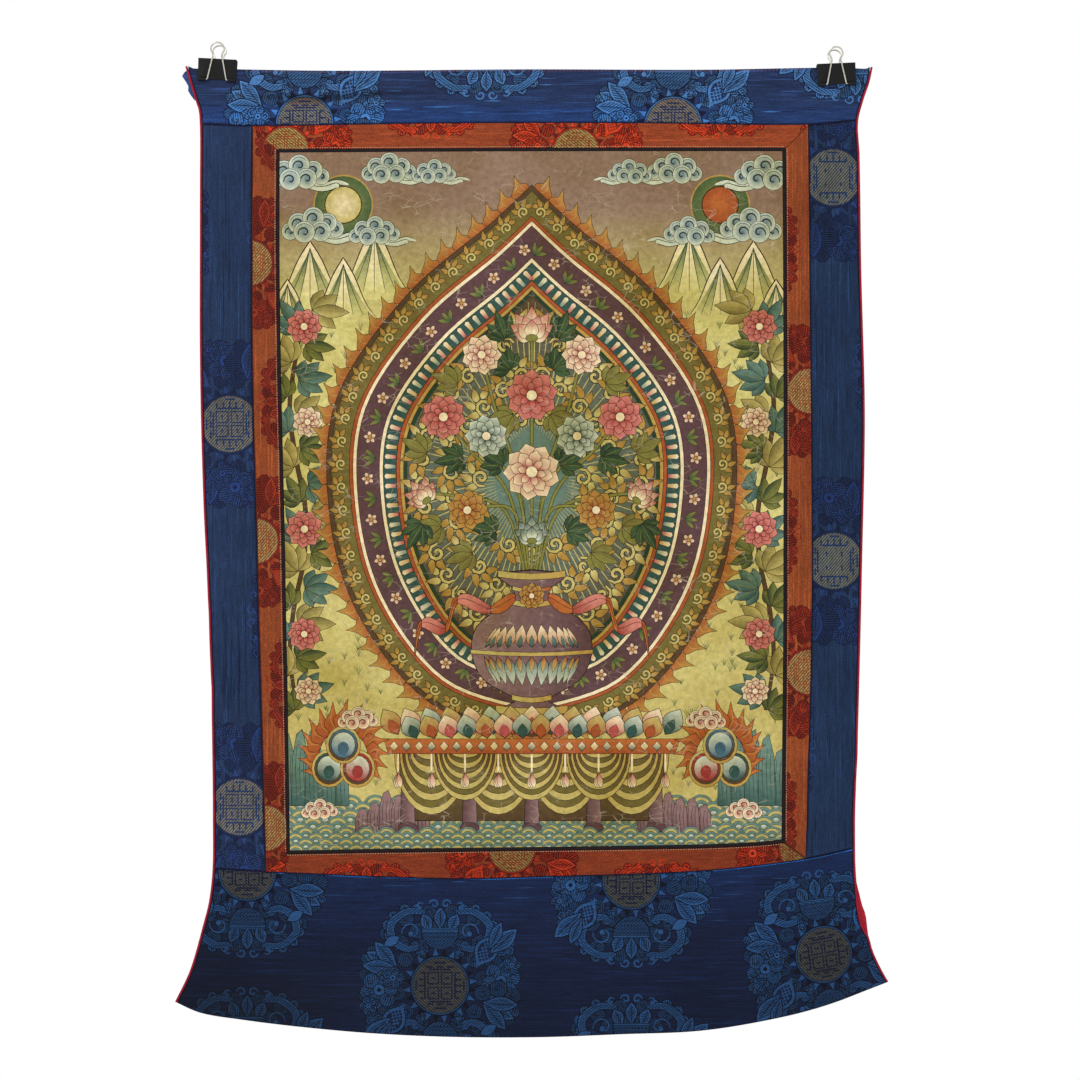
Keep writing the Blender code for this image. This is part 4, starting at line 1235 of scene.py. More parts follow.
def paint_sides(d):
    """A flowering branch climbs each side of the picture."""
    rng = np.random.default_rng(8)
    for side in (-1, 1):
        trunk = [(side * (196 + 7 * math.sin(k * 1.3)), -176 + 42 * k) for k in range(9)]
        stem(d, trunk, 3.2, "bark")
        for k in range(24):
            z = -176 + 14.6 * k
            x = side * (196 + 7 * math.sin((z + 176) / 42 * 1.3))
            turn = side * (68 if k % 2 else -58) + rng.uniform(-14, 14)
            tone = (("leaf", "moss"), ("teal", "sea"), ("olive", "straw"))[k % 3]
            leaf_group(d, x - side * (6 if k % 2 else -3), z, 25 + 3 * (k % 3), turn + 20 * side, *tone)
        for z, size, deep, light in ((146, 15, "red", "pink"), (66, 13, "rose", "cream"),
                                     (-24, 16, "red", "pink"), (-112, 14, "red", "pink"),
                                     (-160, 12, "rose", "cream")):
            peony(d, side * (188 + 3 * math.sin(z)), z, size, deep, light, z)


def painting_drawing():
    d = Drawing()
    with d.moved(4, -381):
        d.fill([(-230, -310), (230, -310), (230, 310), (-230, 310)], PAINT["straw"], PAINT["ground"],
               ((0, -300), (0, 120)))
        d.fill([(-230, 150), (230, 150), (230, 310), (-230, 310)], PAINT["ground"], PAINT["dusk"],
               ((0, 150), (0, 246)))
        rng = np.random.default_rng(6)
        for _ in range(520):
            tuft(d, rng.uniform(-208, 208), rng.uniform(-250, 160), rng.uniform(5, 9))
        for side in (-1, 1):
            for x, z, wide, tall in ((132, 168, 34, 62), (186, 160, 34, 58), (158, 150, 30, 54),
                                     (205, 146, 24, 40)):
                hill(d, side * x, z, wide, tall)
            disc = (side * 158, 248)
            d.fill(oval(*disc, 24, steps=28), PAINT["moss"], PAINT["green"], (disc, 25.0), 1.2, PAINT["gold"])
            pale, warm = ("cream", "straw") if side < 0 else ("flame", "rust")
            paint(d, oval(*disc, 15, steps=22), pale, warm, (disc, 15.0), 0.8)
            for x, z, size in ((196, 270, 17), (120, 274, 15), (184, 226, 17), (132, 222, 14), (82, 272, 12)):
                cloud(d, side * x, z, size, side > 0)
        waves(d, (-215, 215, -292, -252), 10.5)
        for side in (-1, 1):
            rock(d, side * 190, -256, 34, 66, "teal", "sea", 3 + side)
            rock(d, side * 118, -280, 30, 34, "plum", "mauve", 7 + side)
        paint_sides(d)
        paint_glory(d)
        paint_rays(d)
        paint_vase(d)
        paint_throne(d)
        for side in (-1, 1):
            flaming_jewels(d, side * 158, -216, 26, side > 0)
            for x, z, size in ((146, -186, 11), (178, -262, 10)):
                cloud(d, side * x, z, size, side > 0, "rose", "cream", False)
        waves(d, (-215, 215, -296, -280), 8.5)
    return d


# %% [markdown]
# ## The silk brocades
# Both brocades have the same old design at two scales: a round medallion of clouds, leaves and ribbons
# about a gold-thread roundel, in rows that are staggered by half a step. On the loom the figure is satin
# that floats over the ground, and its slanting threads show as fine hatching. The side pieces are cut
# with the cloth turned, so their medallions lie on their sides.

# %% Parts of the medallion
def ribbon(d, tones, points, width, hatch):
    """A hatched silk band with a light rim and a dark edge along a curve, with cloud heads on its back."""
    path = curve(points, 5)
    for number, spot in enumerate(path[2:-2:3]):
        head = oval(*spot * [1.06, 1.035], width * 0.78, steps=10)
        d.fill(head, tones["bright"], line=0.8, ink=tones["dark"], hatch=hatch + 60 * number)
        d.fill(oval(*spot * [1.07, 1.05], width * 0.2, steps=7), tones["dark"])
    d.stroke(path, width + 2.4, tones["dark"], 0.5)
    d.stroke(path, width + 0.7, tones["glow"], 0.5)
    d.stroke(path, width - 0.5, tones["bright"], 0.5, hatch=hatch)


def lobes(d, tones, centre, radius, count, start=0.0, size=0.42):
    """A cloud head: hatched round lobes about a middle one, with a small scroll in each."""
    for i in range(count):
        angle = math.radians(start + 360 * i / count)
        x, z = centre[0] + radius * 0.66 * math.cos(angle), centre[1] + radius * 0.66 * math.sin(angle)
        d.fill(oval(x, z, radius * size, steps=10), tones["bright"], line=0.7, ink=tones["dark"],
               hatch=start + 50 * i)
        d.stroke(arc(x, z, radius * 0.26, 60 * i, 60 * i + 300, 9, radius * 0.06), 0.7, tones["dark"], 0.3)
    d.fill(oval(*centre, radius * 0.3, steps=10), tones["glow"], line=0.6, ink=tones["dark"])
    d.fill(oval(*centre, radius * 0.12, steps=8), tones["dark"])


def lattice_leaf(d, tones, length, width):
    """A pointed leaf from (0, 0) upwards, filled with a lattice."""
    d.fill(petal(length, width, 0.5, 8), tones["bright"], line=0.9, ink=tones["dark"])
    d.fill(petal(length * 0.8, width * 0.76, 0.5, 8) + [0, length * 0.1], tones["mid"])
    step = width * 0.2
    for i in range(-4, 5):
        for lean in (-1, 1):
            middle = np.array([0, length / 2 + i * step])
            reach = max(width * 0.33 - abs(i) * width * 0.065, 0.3)
            run = np.array([reach, reach * lean])
            d.stroke([middle - run, middle, middle + run], 0.75, tones["bright"], 0.2)


def feather(d, tones, length, width, hatch):
    """A hatched leaf from (0, 0) upwards with a light rim and a veined middle."""
    d.fill(petal(length, width, 0.55, 7), tones["glow"], line=0.9, ink=tones["dark"])
    inner = petal(length * 0.86, width * 0.78, 0.55, 7) + [0, length * 0.06]
    d.fill(inner, tones["bright"], hatch=hatch)
    d.stroke([(0, length * 0.08), (0.4, length * 0.5), (0, length * 0.9)], 0.8, tones["dark"], 0.6)


def half_medallion(d, tones):
    """The upper half, of a medallion 139 mm across; the lower half is the same, turned over."""
    soft = tones["bright"] * 0.55 + tones["dark"] * 0.2
    for reach, size, count, start in ((62, 6.6, 10, 8), (49, 7.6, 9, 3), (36, 7.0, 7, 10)):
        for i in range(count):
            angle = math.radians(start + (180 - 2 * start) * i / (count - 1))
            x, z = reach * math.cos(angle), reach * math.sin(angle)
            d.fill(oval(x, z, size, size * 0.9, 9), soft, line=0.7, ink=tones["dark"], hatch=50 * i + reach)
            d.stroke(arc(x, z, size * 0.55, 70 * i, 70 * i + 280, 7, size * 0.1), 0.7, tones["dark"], 0.3)
    for side in (-1, 1):
        points = ((13 * side, 61), (28 * side, 61.5), (41 * side, 51), (39 * side, 38), (28 * side, 30.5),
                  (15 * side, 33))
        ribbon(d, tones, points, 5.2, 35 * side)
        tendril = arc(24 * side, 44.5, 8.5, 90 - 100 * side, 90 + 220 * side, 12, 2.5)
        d.stroke(tendril, 1.1, tones["bright"], 0.4)
        d.fill(oval(24.5 * side, 43, 2.2, steps=9), tones["glow"], line=0.5, ink=tones["dark"])
    for x, height, turn in ((-8, 51, 24), (8, 51, -24), (0, 53, 0)):
        with d.moved(x, height - 6, turn=turn):
            feather(d, tones, 18 - abs(x) * 0.3, 9.5, 40 + turn)
    bowl = np.concatenate([arc(0, 45, 15, 180, 360, 14), [(15, 47), (-15, 47)]])
    d.fill(bowl, tones["bright"] * 0.7 + tones["dark"] * 0.3, line=0.9, ink=tones["dark"], hatch=-40)
    for row in range(4):
        reach = math.sqrt(max(13.5**2 - (row * 3.2 + 1.5) ** 2, 0))
        for x in np.arange(-reach + 1.4 * (row % 2), reach, 2.8):
            d.fill(oval(x, 43.6 - row * 3.2, 0.62, steps=5), tones["dark"])
    d.fill([(-15, 45), (15, 45), (15, 47.6), (-15, 47.6)], tones["glow"], hatch=0)
    for x in (-5, 5):
        d.stroke(arc(x, 68, 4.2, 90 - 18 * x, 90 + 54 * x, 10, 1.2), 1.4, tones["bright"], 0.4)
        d.stroke(arc(x * 3.4, 66, 3.4, 90 + 10 * x, 90 - 56 * x, 10, 0.9), 1.2, tones["bright"], 0.4)
    lobes(d, tones, (-15, 27.5), 5.0, 4, 20)
    lobes(d, tones, (15, 27.5), 5.0, 4, 70)
    lobes(d, tones, (54, 33), 8.5, 5, 30)
    lobes(d, tones, (-58, 20), 8.0, 5, 10)
    with d.moved(31, 17, turn=-32):
        lattice_leaf(d, tones, 29, 19)
    with d.moved(42, 27, turn=-48):
        feather(d, tones, 30, 13, 20)
        with d.moved(-3, 2, turn=24):
            feather(d, tones, 24, 9, 70)
    lobes(d, tones, (51, 4), 15, 6, 12)
    lobes(d, tones, (39.5, -6), 8.5, 5, 40)
    lobes(d, tones, (60, 17), 7, 5, 5)
    for turn, hatch in ((62, 30), (40, -30), (86, 60)):
        with d.moved(-36, 14, turn=turn):
            feather(d, tones, 29, 11.5, hatch)
    d.fill(petal(15, 8, 0.5, 7) @ [[0.5, -0.87], [0.87, 0.5]] + [-47, 33], tones["glow"], line=0.7,
           ink=tones["dark"])
    for i in range(12):
        with d.moved(turn=-82 + i * 15):
            colour = tones["dark"] if i % 2 else tones["bright"]
            point = [(-2.3, 25.2), (2.3, 25.2), (0.3, 31.5 - 1.6 * (i % 2))]
            d.fill(point, colour, line=0.4, ink=tones["dark"])


ROUNDEL_RADIUS = 22.6


def roundel(d, tones):
    """Gold thread laid in a square fret, inside a thin ring of silk."""
    def bar(*ends):
        d.stroke(ends, 1.25, tones["fret"], 0.0)

    for wider, tone in ((2.2, "dark"), (1.5, "ring"), (0.5, "dark")):
        d.fill(oval(0, 0, ROUNDEL_RADIUS + wider, steps=40), tones[tone])
    d.fill(oval(0, 0, ROUNDEL_RADIUS, steps=40), tones["thread"], hatch=40)
    square = ((-4.4, -4.8), (4.4, -4.8), (4.4, 4.8), (-4.4, 4.8), (-4.4, -4.8))
    for x in (-5.6, 5.6):
        for z in (-6.2, 6.2):
            bar(*((x + a, z + b) for a, b in square))
            bar((x - 1.8, z), (x + 1.8, z))
    for z in (-15.4, 15.4):
        for x in (-8.5, 0, 8.5):
            bar((x - 2.8, z), (x + 2.8, z))
        bar((-9, z * 0.87), (9, z * 0.87))
        bar((-5, z * 1.22), (5, z * 1.22))
    for x in (-1, 1):
        for lift, reach in ((0, 18.6), (5, 17.6), (-5, 17.6), (10.6, 16.4), (-10.6, 16.4)):
            bar((x * 12.6, lift), (x * reach, lift))
        bar((x * 12.6, -10.6), (x * 12.6, 10.6))
        bar((x * 20, -4), (x * 20, 4))


def medallion(d, tones, across, height, size=1.0, turn=0.0):
    with d.moved(across, height, size, turn):
        half_medallion(d, tones)
        with d.moved(turn=180):
            half_medallion(d, tones)
        roundel(d, tones)


def panel(left, right, low, high):
    return [(left, low), (right, low), (right, high), (left, high)]


def streaks(d, box, count, colour, seed, upright=False, longest=46.0):
    """Long thin runs where a few threads lie a little higher and catch the light."""
    rng = np.random.default_rng(seed)
    for _ in range(count):
        x, z = rng.uniform(box[0], box[1]), rng.uniform(box[2], box[3])
        reach, width = rng.uniform(0.2, 0.5) * longest, rng.uniform(0.35, 1.1)
        run = np.array([0, reach]) if upright else np.array([reach, 0])
        points = [(x, z) - run, (x, z), (x, z) + run]
        d.stroke(np.array(points), width, colour * rng.uniform(0.8, 1.25), 1.0, silk=0.7)


print("roundel radius", ROUNDEL_RADIUS, "mm")

# %% [markdown]
# ### The blue brocade
# Above and below, the figure is a lighter blue than its ground. At the sides, with the cloth turned, the
# light falls across the floats the other way, so the same figure looks dark and soft there.

# %% Blue brocade
BLUE = {
    "dark": rgb(12, 17, 40), "mid": rgb(24, 42, 78), "bright": rgb(66, 112, 166), "glow": rgb(70, 116, 170),
    "ring": rgb(52, 98, 144), "thread": rgb(124, 108, 98), "fret": rgb(26, 36, 68),
}
SHADED = {name: colour * 0.56 for name, colour in BLUE.items()}
DEEP = {
    "dark": rgb(20, 28, 60), "mid": rgb(30, 46, 84), "bright": rgb(42, 62, 110), "glow": rgb(36, 58, 114),
    "ring": rgb(28, 42, 78), "thread": rgb(128, 118, 112), "fret": rgb(34, 52, 92),
}


def top_brocade_drawing():
    d = Drawing()
    # The ground runs lighter towards the seam below: a painted sheen where the cloth turns up to the light.
    d.fill(panel(-330, 330, -80, 30), rgb(32, 54, 96), rgb(32, 46, 82), ((0, -66), (0, -34)))
    streaks(d, (-290, 290, -64, -16), 200, rgb(40, 66, 112), 3)
    streaks(d, (-290, 290, -64, -16), 90, rgb(22, 34, 66), 2)
    streaks(d, (-150, 290, -58, -26), 22, rgb(58, 104, 158), 4, longest=26)
    for across, height in ((-186.5, -64.7), (122.6, -66.4), (-34, 27), (276, 24)):
        medallion(d, BLUE, across, height)
    return d


def bottom_brocade_drawing():
    d = Drawing()
    # The ground darkens towards the hem: painted shade where the cloth curls back from the light.
    d.fill(panel(-330, 330, -850, -660), rgb(27, 42, 78), rgb(21, 30, 58), ((0, -690), (0, -740)))
    # A light-blue line along the seam is a painted highlight, where the turned edge catches the light.
    seam = line_of(BOTTOM_SEAM, -0.9)
    across = np.linspace(-270, 290, 60)
    d.stroke(np.stack([across, seam(across)], 1), 1.3, rgb(58, 124, 200), 0.2)
    streaks(d, (-290, 300, -825, -692), 420, rgb(27, 41, 76), 5, longest=70)
    streaks(d, (-290, 300, -825, -692), 160, rgb(17, 24, 50), 7, longest=60)
    streaks(d, (-200, 260, -735, -696), 36, rgb(40, 66, 104), 6, longest=34)
    for across, height, turn in ((-234.8, -693, 0), (-72.7, -787.1, 0), (87.4, -699.7, 0), (249.5, -763.1, 8),
                                 (-234.8, -862.0, 0), (87.4, -866.0, 0)):
        medallion(d, SHADED, across, height, 1.0, turn)
    return d


def side_brocade_drawing(box, centres, turn, seed):
    d = Drawing()
    d.fill(panel(*box), rgb(37, 54, 88), rgb(32, 48, 80), ((box[0], 0), (box[1], 0)))
    streaks(d, box, 160, rgb(42, 62, 98), seed, True, 90)
    streaks(d, box, 90, rgb(26, 38, 68), seed + 1, True, 90)
    for across, height in centres:
        medallion(d, DEEP, across, height, 1.04, turn)
    return d


def left_brocade_drawing():
    centres = ((-249.5, -316.7), (-241.1, -638.4), (-338, -478), (-160, -478), (-338, -156), (-160, -156))
    return side_brocade_drawing((-282, -215, -700, -60), centres, 90, 11)


def right_brocade_drawing():
    centres = ((257.0, -109.6), (257.9, -431.8), (348, -270), (168, -270), (348, -592), (168, -592))
    return side_brocade_drawing((230, 292, -700, -60), centres, -90, 21)


print("blues", ", ".join(BLUE))

# %% [markdown]
# ### The orange brocade
# The borders are cut from a smaller weave of the same design, in strips that show only slices of its
# medallions. It is one silk, given two colours: level strips a painted sheen of bright orange, and upright
# strips a painted shade of dark red.

# %% Orange brocade
# The same orange silk twice: with a painted sheen for the level strips, then with a painted shade for the
# upright ones.
ORANGE_WITH_SHEEN = {
    "dark": rgb(92, 22, 14), "mid": rgb(132, 44, 22), "bright": rgb(206, 62, 28), "glow": rgb(214, 72, 34),
    "ring": rgb(168, 52, 26), "thread": rgb(176, 146, 92), "fret": rgb(132, 62, 34),
}
ORANGE_WITH_SHADE = {
    "dark": rgb(92, 22, 16), "mid": rgb(138, 64, 32), "bright": rgb(142, 44, 28), "glow": rgb(142, 52, 30),
    "ring": rgb(126, 42, 26), "thread": rgb(176, 140, 96), "fret": rgb(140, 78, 44),
}
BORDER_SCALE = 0.82


def level_border_drawing(box, centres, seed):
    d = Drawing()
    d.fill(panel(*box), rgb(146, 66, 38))
    streaks(d, box, 60, rgb(158, 74, 44), seed, False, 60)
    for across, height in centres:
        medallion(d, ORANGE_WITH_SHEEN, across, height, BORDER_SCALE)
    return d


def top_border_drawing():
    centres = ((41.2, -88.2), (-202.4, -86.5), (163, -19), (-80.5, -19), (284, -88))
    return level_border_drawing((-235, 242, -92, -62), centres, 31)


def bottom_border_drawing():
    centres = ((-12.6, -673.7), (231, -673.7), (-134.5, -741), (109, -741), (-256, -673.7))
    return level_border_drawing((-235, 242, -702, -664), centres, 32)


def upright_border_drawing(box, centres, seed):
    d = Drawing()
    d.fill(panel(*box), rgb(146, 72, 38), rgb(128, 62, 36), ((box[0], 0), (box[1], 0)))
    streaks(d, box, 90, rgb(156, 82, 46), seed, True, 80)
    for across, height in centres:
        medallion(d, ORANGE_WITH_SHADE, across, height, BORDER_SCALE, 90)
    return d


def left_border_drawing():
    centres = ((-232.7, -181.4), (-227.6, -415), (-219.2, -656), (-167, -298), (-160, -536), (-172, -64))
    return upright_border_drawing((-240, -198, -700, -60), centres, 41)


def right_border_drawing():
    centres = ((237.7, -289), (236.9, -525), (171, -170), (171, -407), (170, -645))
    return upright_border_drawing((214, 244, -700, -60), centres, 42)


print("oranges", ", ".join(ORANGE_WITH_SHEEN))


# %% [markdown]
# ## Sewing the mount
# Each cloth is cut inside its seams, so the pieces lie beside each other as sewn work does. The brocade
# above goes over the top and down the back, where it makes the pocket that a hanging rod would slide in.

# %% Outlines of the cut pieces
half_gap = GAP / 2
line_of = smooth_line
canvas_outline = panel_outline(
    line_of(CANVAS_TOP), line_of(CANVAS_BOTTOM), line_of(CANVAS_LEFT), line_of(CANVAS_RIGHT),
)
left_outline = panel_outline(
    line_of(TOP_SEAM, -half_gap), line_of(BOTTOM_SEAM, half_gap),
    line_of(OUTER_LEFT, EDGE_INSET), line_of(SEAM_LEFT, -half_gap),
)
right_outline = panel_outline(
    line_of(TOP_SEAM, -half_gap), line_of(BOTTOM_SEAM, half_gap),
    line_of(SEAM_RIGHT, half_gap), line_of(OUTER_RIGHT, -EDGE_INSET),
)
bottom_outline = panel_outline(
    line_of(BOTTOM_SEAM, -half_gap), line_of(HEM),
    line_of(OUTER_LEFT, EDGE_INSET), line_of(OUTER_RIGHT, -EDGE_INSET),
)
lining_outline = panel_outline(
    lambda across: LINING_TOP + 0 * across, line_of(HEM, 1.0),
    line_of(OUTER_LEFT, GAP), line_of(LINING_RIGHT),
)
print("flared panel", [round(float(v)) for v in bottom_outline.max(0) - bottom_outline.min(0)], "mm")


def border_outline(level, sign):
    """A mitred strip of the orange border: level above or below, or upright at one side."""
    inner_row = line_of(CANVAS_TOP if sign > 0 else CANVAS_BOTTOM, sign * BORDER_INSET)
    outer_row = line_of(TOP_SEAM if sign > 0 else BOTTOM_SEAM, -sign * half_gap)
    inner_left, inner_right = line_of(CANVAS_LEFT, -BORDER_INSET), line_of(CANVAS_RIGHT, BORDER_INSET)
    outer_left, outer_right = line_of(SEAM_LEFT, half_gap), line_of(SEAM_RIGHT, -half_gap)
    if level:
        corners = [meeting(outer_row, outer_left), meeting(outer_row, outer_right),
                   meeting(inner_row, inner_right), meeting(inner_row, inner_left)]
        return np.concatenate([
            along_row(outer_row, corners[0], corners[1], 5), along_row(inner_row, corners[2], corners[3], 5),
        ])
    inner, outer = (inner_left, outer_left) if sign < 0 else (inner_right, outer_right)
    top_rows = line_of(TOP_SEAM, -half_gap), line_of(CANVAS_TOP, BORDER_INSET)
    low_rows = line_of(BOTTOM_SEAM, half_gap), line_of(CANVAS_BOTTOM, -BORDER_INSET)
    corners = [meeting(top_rows[0], outer), meeting(low_rows[0], outer),
               meeting(low_rows[1], inner), meeting(top_rows[1], inner)]
    return np.concatenate([
        along_column(outer, corners[0], corners[1], 5), along_column(inner, corners[2], corners[3], 5),
    ])

# %% [markdown]
# ### The pocket at the top
# The upper brocade turns over a half circle at its top edge and falls down the back to a raw edge that is
# sewn to the lining. Flat, it is one piece, so points past the fold line are carried round the half circle
# and then down behind. Its flat side lines flare, because the flap leans out past the front at the corners.

# %% The upper brocade, over the top and down the back
fold_axis = line_of(TOP_EDGE, -LAYER_STEP - BROCADE_THICKNESS / 2)
fold_length = math.pi * LAYER_STEP
fold_left = meeting(fold_axis, line_of(OUTER_LEFT, EDGE_INSET))
fold_right = meeting(fold_axis, line_of(OUTER_RIGHT, -EDGE_INSET))
flap_left, flap_right = line_of(FLAP_LEFT), line_of(FLAP_RIGHT)


def top_outline():
    seam = line_of(TOP_SEAM, half_gap)
    left, right = line_of(OUTER_LEFT, EDGE_INSET), line_of(OUTER_RIGHT, -EDGE_INSET)
    low_left, low_right = meeting(seam, left), meeting(seam, right)
    across = np.linspace(fold_left[0], fold_right[0], 116)
    axis = fold_axis(across)
    flap_end = np.stack([across, axis + fold_length + (axis - FLAP_END)], 1)
    rises = np.linspace(0, 1, 9)[1:-1, None]
    right_side = flap_end[-1] + (fold_right - flap_end[-1]) * rises
    left_side = fold_left + (flap_end[0] - fold_left) * rises
    sides = (
        flap_end, right_side, along_column(right, fold_right, low_right, 5)[:-1],
        along_row(seam, low_right, low_left, 5), along_column(left, low_left, fold_left, 5)[1:], left_side,
    )
    return np.concatenate(sides)


def fold_rows():
    """Closed strips round the top fold, so that the triangles bend with it."""
    across = np.linspace(-330, 330, 133)
    axis = fold_axis(across)
    rows = [np.stack([across, axis + fold_length * k / 5], 1) for k in range(6)]
    rows += [rows[-1] + [0, 6], rows[-1] + [0, 60]]
    return [np.concatenate([low, high[::-1]]) for low, high in zip(rows, rows[1:])]


def top_place(points, offset):
    across, height = points[:, 0], points[:, 1]
    axis = fold_axis(across)
    past = height - axis
    angle = np.clip(past / LAYER_STEP, 0, math.pi)
    front = hang(points, offset - LAYER_STEP)
    centre = hang(np.stack([across, axis], 1), 0.0)
    radius = LAYER_STEP - offset
    turned = centre + radius * np.stack([0 * angle, -np.cos(angle), np.sin(angle)], 1)
    fallen = np.minimum(axis - (past - fold_length), axis)
    share = (across - fold_left[0]) / (fold_right[0] - fold_left[0])
    opened = flap_left(fallen) + (flap_right(fallen) - flap_left(fallen)) * share
    ease = soft_step((axis - fallen) / 5.0)
    behind = hang(np.stack([across + (opened - across) * ease, fallen], 1), LAYER_STEP - offset)
    past = past[:, None]
    return np.where(past <= 0, front, np.where(past < fold_length, turned, behind))


print("cloth in the fold", round(fold_length, 2), "mm")

# %% [markdown]
# ### Cutting and hanging
# Every cloth is cut along its outline, gets its drawing, and is hung on the shared folds. A shade over
# the lower and side brocades darkens them where they turn from the light, as the soft studio light alone
# is too even for silk.

# %% Cut, draw and hang each cloth
NAVY = rgb(24, 34, 70)
REVERSE = rgb(52, 78, 128)
roll_foot = smooth_line(((-260, -41), (-200, -43), (-160, -42.5), (-125, -39.5), (-60, -36), (120, -33)))
cloths = {}
cloths["painting"] = make_cloth(
    "painting", canvas_outline, painting_drawing(), front_place, BROCADE_THICKNESS,
    rgb(196, 198, 128), rgb(150, 140, 112),
)
cloths["painting"].data.materials.append(painted_cotton)
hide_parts("painting_canvas")

brocades = (
    ("upper_brocade", "brocade_top", top_outline(), top_brocade_drawing, top_place, blue_silk),
    ("left_brocade", "brocade_left", left_outline, left_brocade_drawing, front_place, blue_silk_turned),
    ("right_brocade", "brocade_right", right_outline, right_brocade_drawing, front_place, blue_silk_turned),
    ("lower_brocade", "brocade_bottom", bottom_outline, bottom_brocade_drawing, front_place, blue_silk),
)


def lower_shade(points):
    """The lower brocade darkens towards its hem and its left corner, where it turns from the light."""
    across, height = points[:, 0], points[:, 1]
    down = soft_step((-700 - height) / 120)
    left = soft_step((-90 - across) / 160)
    level = 1.2 - 0.32 * down - 0.34 * left * down - 0.12 * left
    return level[:, None] * [0.46, 0.63, 0.75]


def upper_shade(points):
    """Below the flattened roll lies a soft shadow, and under it the cloth turns up to the light."""
    across, height = points[:, 0], points[:, 1]
    reach = 0.2 + 0.5 * soft_step((across + 235) / 40) * soft_step((-95 - across) / 30)
    shadow = np.exp(-(((height - roll_foot(across)) / 2.6) ** 2)) * reach
    lit = soft_step((-45 - height) / 9) * (1 - 0.5 * soft_step((across - 90) / 60))
    return (1.0 - shadow)[:, None] * (1 + lit[:, None] * [-0.12, 0.12, 0.3])


def even_shade(*tint):
    """The same tint all over a cloth."""
    return lambda points: np.tile(tint, (len(points), 1))


SHADES = {
    "brocade_top": upper_shade,
    "brocade_bottom": lower_shade,
    "brocade_left": even_shade(0.78, 0.88, 0.90),
    "brocade_right": even_shade(0.62, 0.77, 0.78),
    "border_top": even_shade(0.97, 0.90, 0.70),
    "border_bottom": even_shade(0.70, 0.58, 0.44),
    "border_left": even_shade(0.97, 0.90, 0.70),
    "border_right": even_shade(0.97, 0.90, 0.70),
}


def seam_shadow(drawing, outline, colour):
    """Where two cloths meet, the turned-in edge lies a little lower and darker."""
    closed = np.concatenate([outline, outline[:1]])
    drawing.stroke(closed, 1.5, colour, 0.0, silk=0.0)


for name, node, outline, draw, place, silk in brocades:
    drawing = draw()
    seam_shadow(drawing, outline, NAVY * 0.4)
    for strip in fold_rows() if node == "brocade_top" else ():
        drawing.fill(strip, rgb(26, 38, 80))
    cloths[name] = make_cloth(
        name, outline, drawing, place, BROCADE_THICKNESS, NAVY, REVERSE, SHADES[node])
    cloths[name].data.materials.append(silk)
    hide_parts(node)

RUST = rgb(140, 62, 36)
borders = (
    ("upper_border", "border_top", True, 1, top_border_drawing, orange_silk),
    ("lower_border", "border_bottom", True, -1, bottom_border_drawing, orange_silk),
    ("left_border", "border_left", False, -1, left_border_drawing, orange_silk_turned),
    ("right_border", "border_right", False, 1, right_border_drawing, orange_silk_turned),
)
for name, node, level, sign, draw, silk in borders:
    outline = border_outline(level, sign)
    drawing = draw()
    seam_shadow(drawing, outline, RUST * 0.35)
    cloths[name] = make_cloth(
        name, outline, drawing, front_place, BROCADE_THICKNESS, RUST, RUST * 0.6, SHADES[node], 5.0, 12.0)
    cloths[name].data.materials.append(silk)
    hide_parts(node)

cloths["lining"] = make_cloth(
    "red_lining", lining_outline, Drawing(), lining_place, LINING_THICKNESS,
    rgb(150, 26, 44), rgb(150, 26, 44), None, 10.0, 10.0,
)
cloths["lining"].data.materials.append(red_silk)
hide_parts("lining")
print("cloths", ", ".join(cloths))


# %% [markdown]
# ## Piping, edging and stitches
# A cord of black silk is sewn in round the painting, and a narrow red edging finishes both sides of the
# mount. These are thin and round, so each is a small oval section carried along its line on the cloth.
# The stitches are single ones, each a short bead of thread that dips into the cloth at both its ends.

# %% Cords carried along the cloth
def make_cord(name, path, wide, thick, layer, finish, corners=10):
    """A closed oval cord along flat points, its middle at a layer of the cloth."""
    run = np.gradient(path, axis=0)
    side = np.stack([-run[:, 1], run[:, 0]], 1)
    side /= np.linalg.norm(side, axis=1)[:, None]
    angles = np.arange(corners) / corners * 2 * math.pi
    rings = []
    for angle in angles:
        out, up = math.cos(angle), math.sin(angle)
        out = math.copysign(abs(out) ** 0.7, out) * wide / 2
        up = math.copysign(abs(up) ** 0.7, up) * thick / 2
        rings.append(hang(path + side * out, layer + up))
    points = np.stack(rings, 1).reshape(-1, 3)
    count = len(path)
    faces = []
    for i in range(count - 1):
        for j in range(corners):
            k = (j + 1) % corners
            faces.append((i * corners + j, i * corners + k, (i + 1) * corners + k, (i + 1) * corners + j))
    faces.append(tuple(range(corners))[::-1])
    faces.append(tuple((count - 1) * corners + j for j in range(corners)))
    mesh = bpy.data.meshes.new(name)
    mesh.from_pydata((points * MM).tolist(), [], faces)
    mesh.validate()
    mesh.materials.append(finish)
    cord = bpy.data.objects.new(name, mesh)
    bpy.context.scene.collection.objects.link(cord)
    bpy.context.view_layer.objects.active = cord
    cord.select_set(True)
    bpy.ops.object.mode_set(mode="EDIT")
    bpy.ops.mesh.select_all(action="SELECT")
    bpy.ops.mesh.normals_make_consistent(inside=False)
    bpy.ops.object.mode_set(mode="OBJECT")
    bpy.ops.object.shade_smooth_by_angle(angle=math.radians(50))
    cord.select_set(False)
    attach(cord, "root")
    return cord


def stretch(start, end, line, upright):
    """Points along a line of the cloth between two places."""
    at = np.linspace(start, end, int(abs(end - start) / 5) + 1)
    return np.stack([line(at), at] if upright else [at, line(at)], 1)


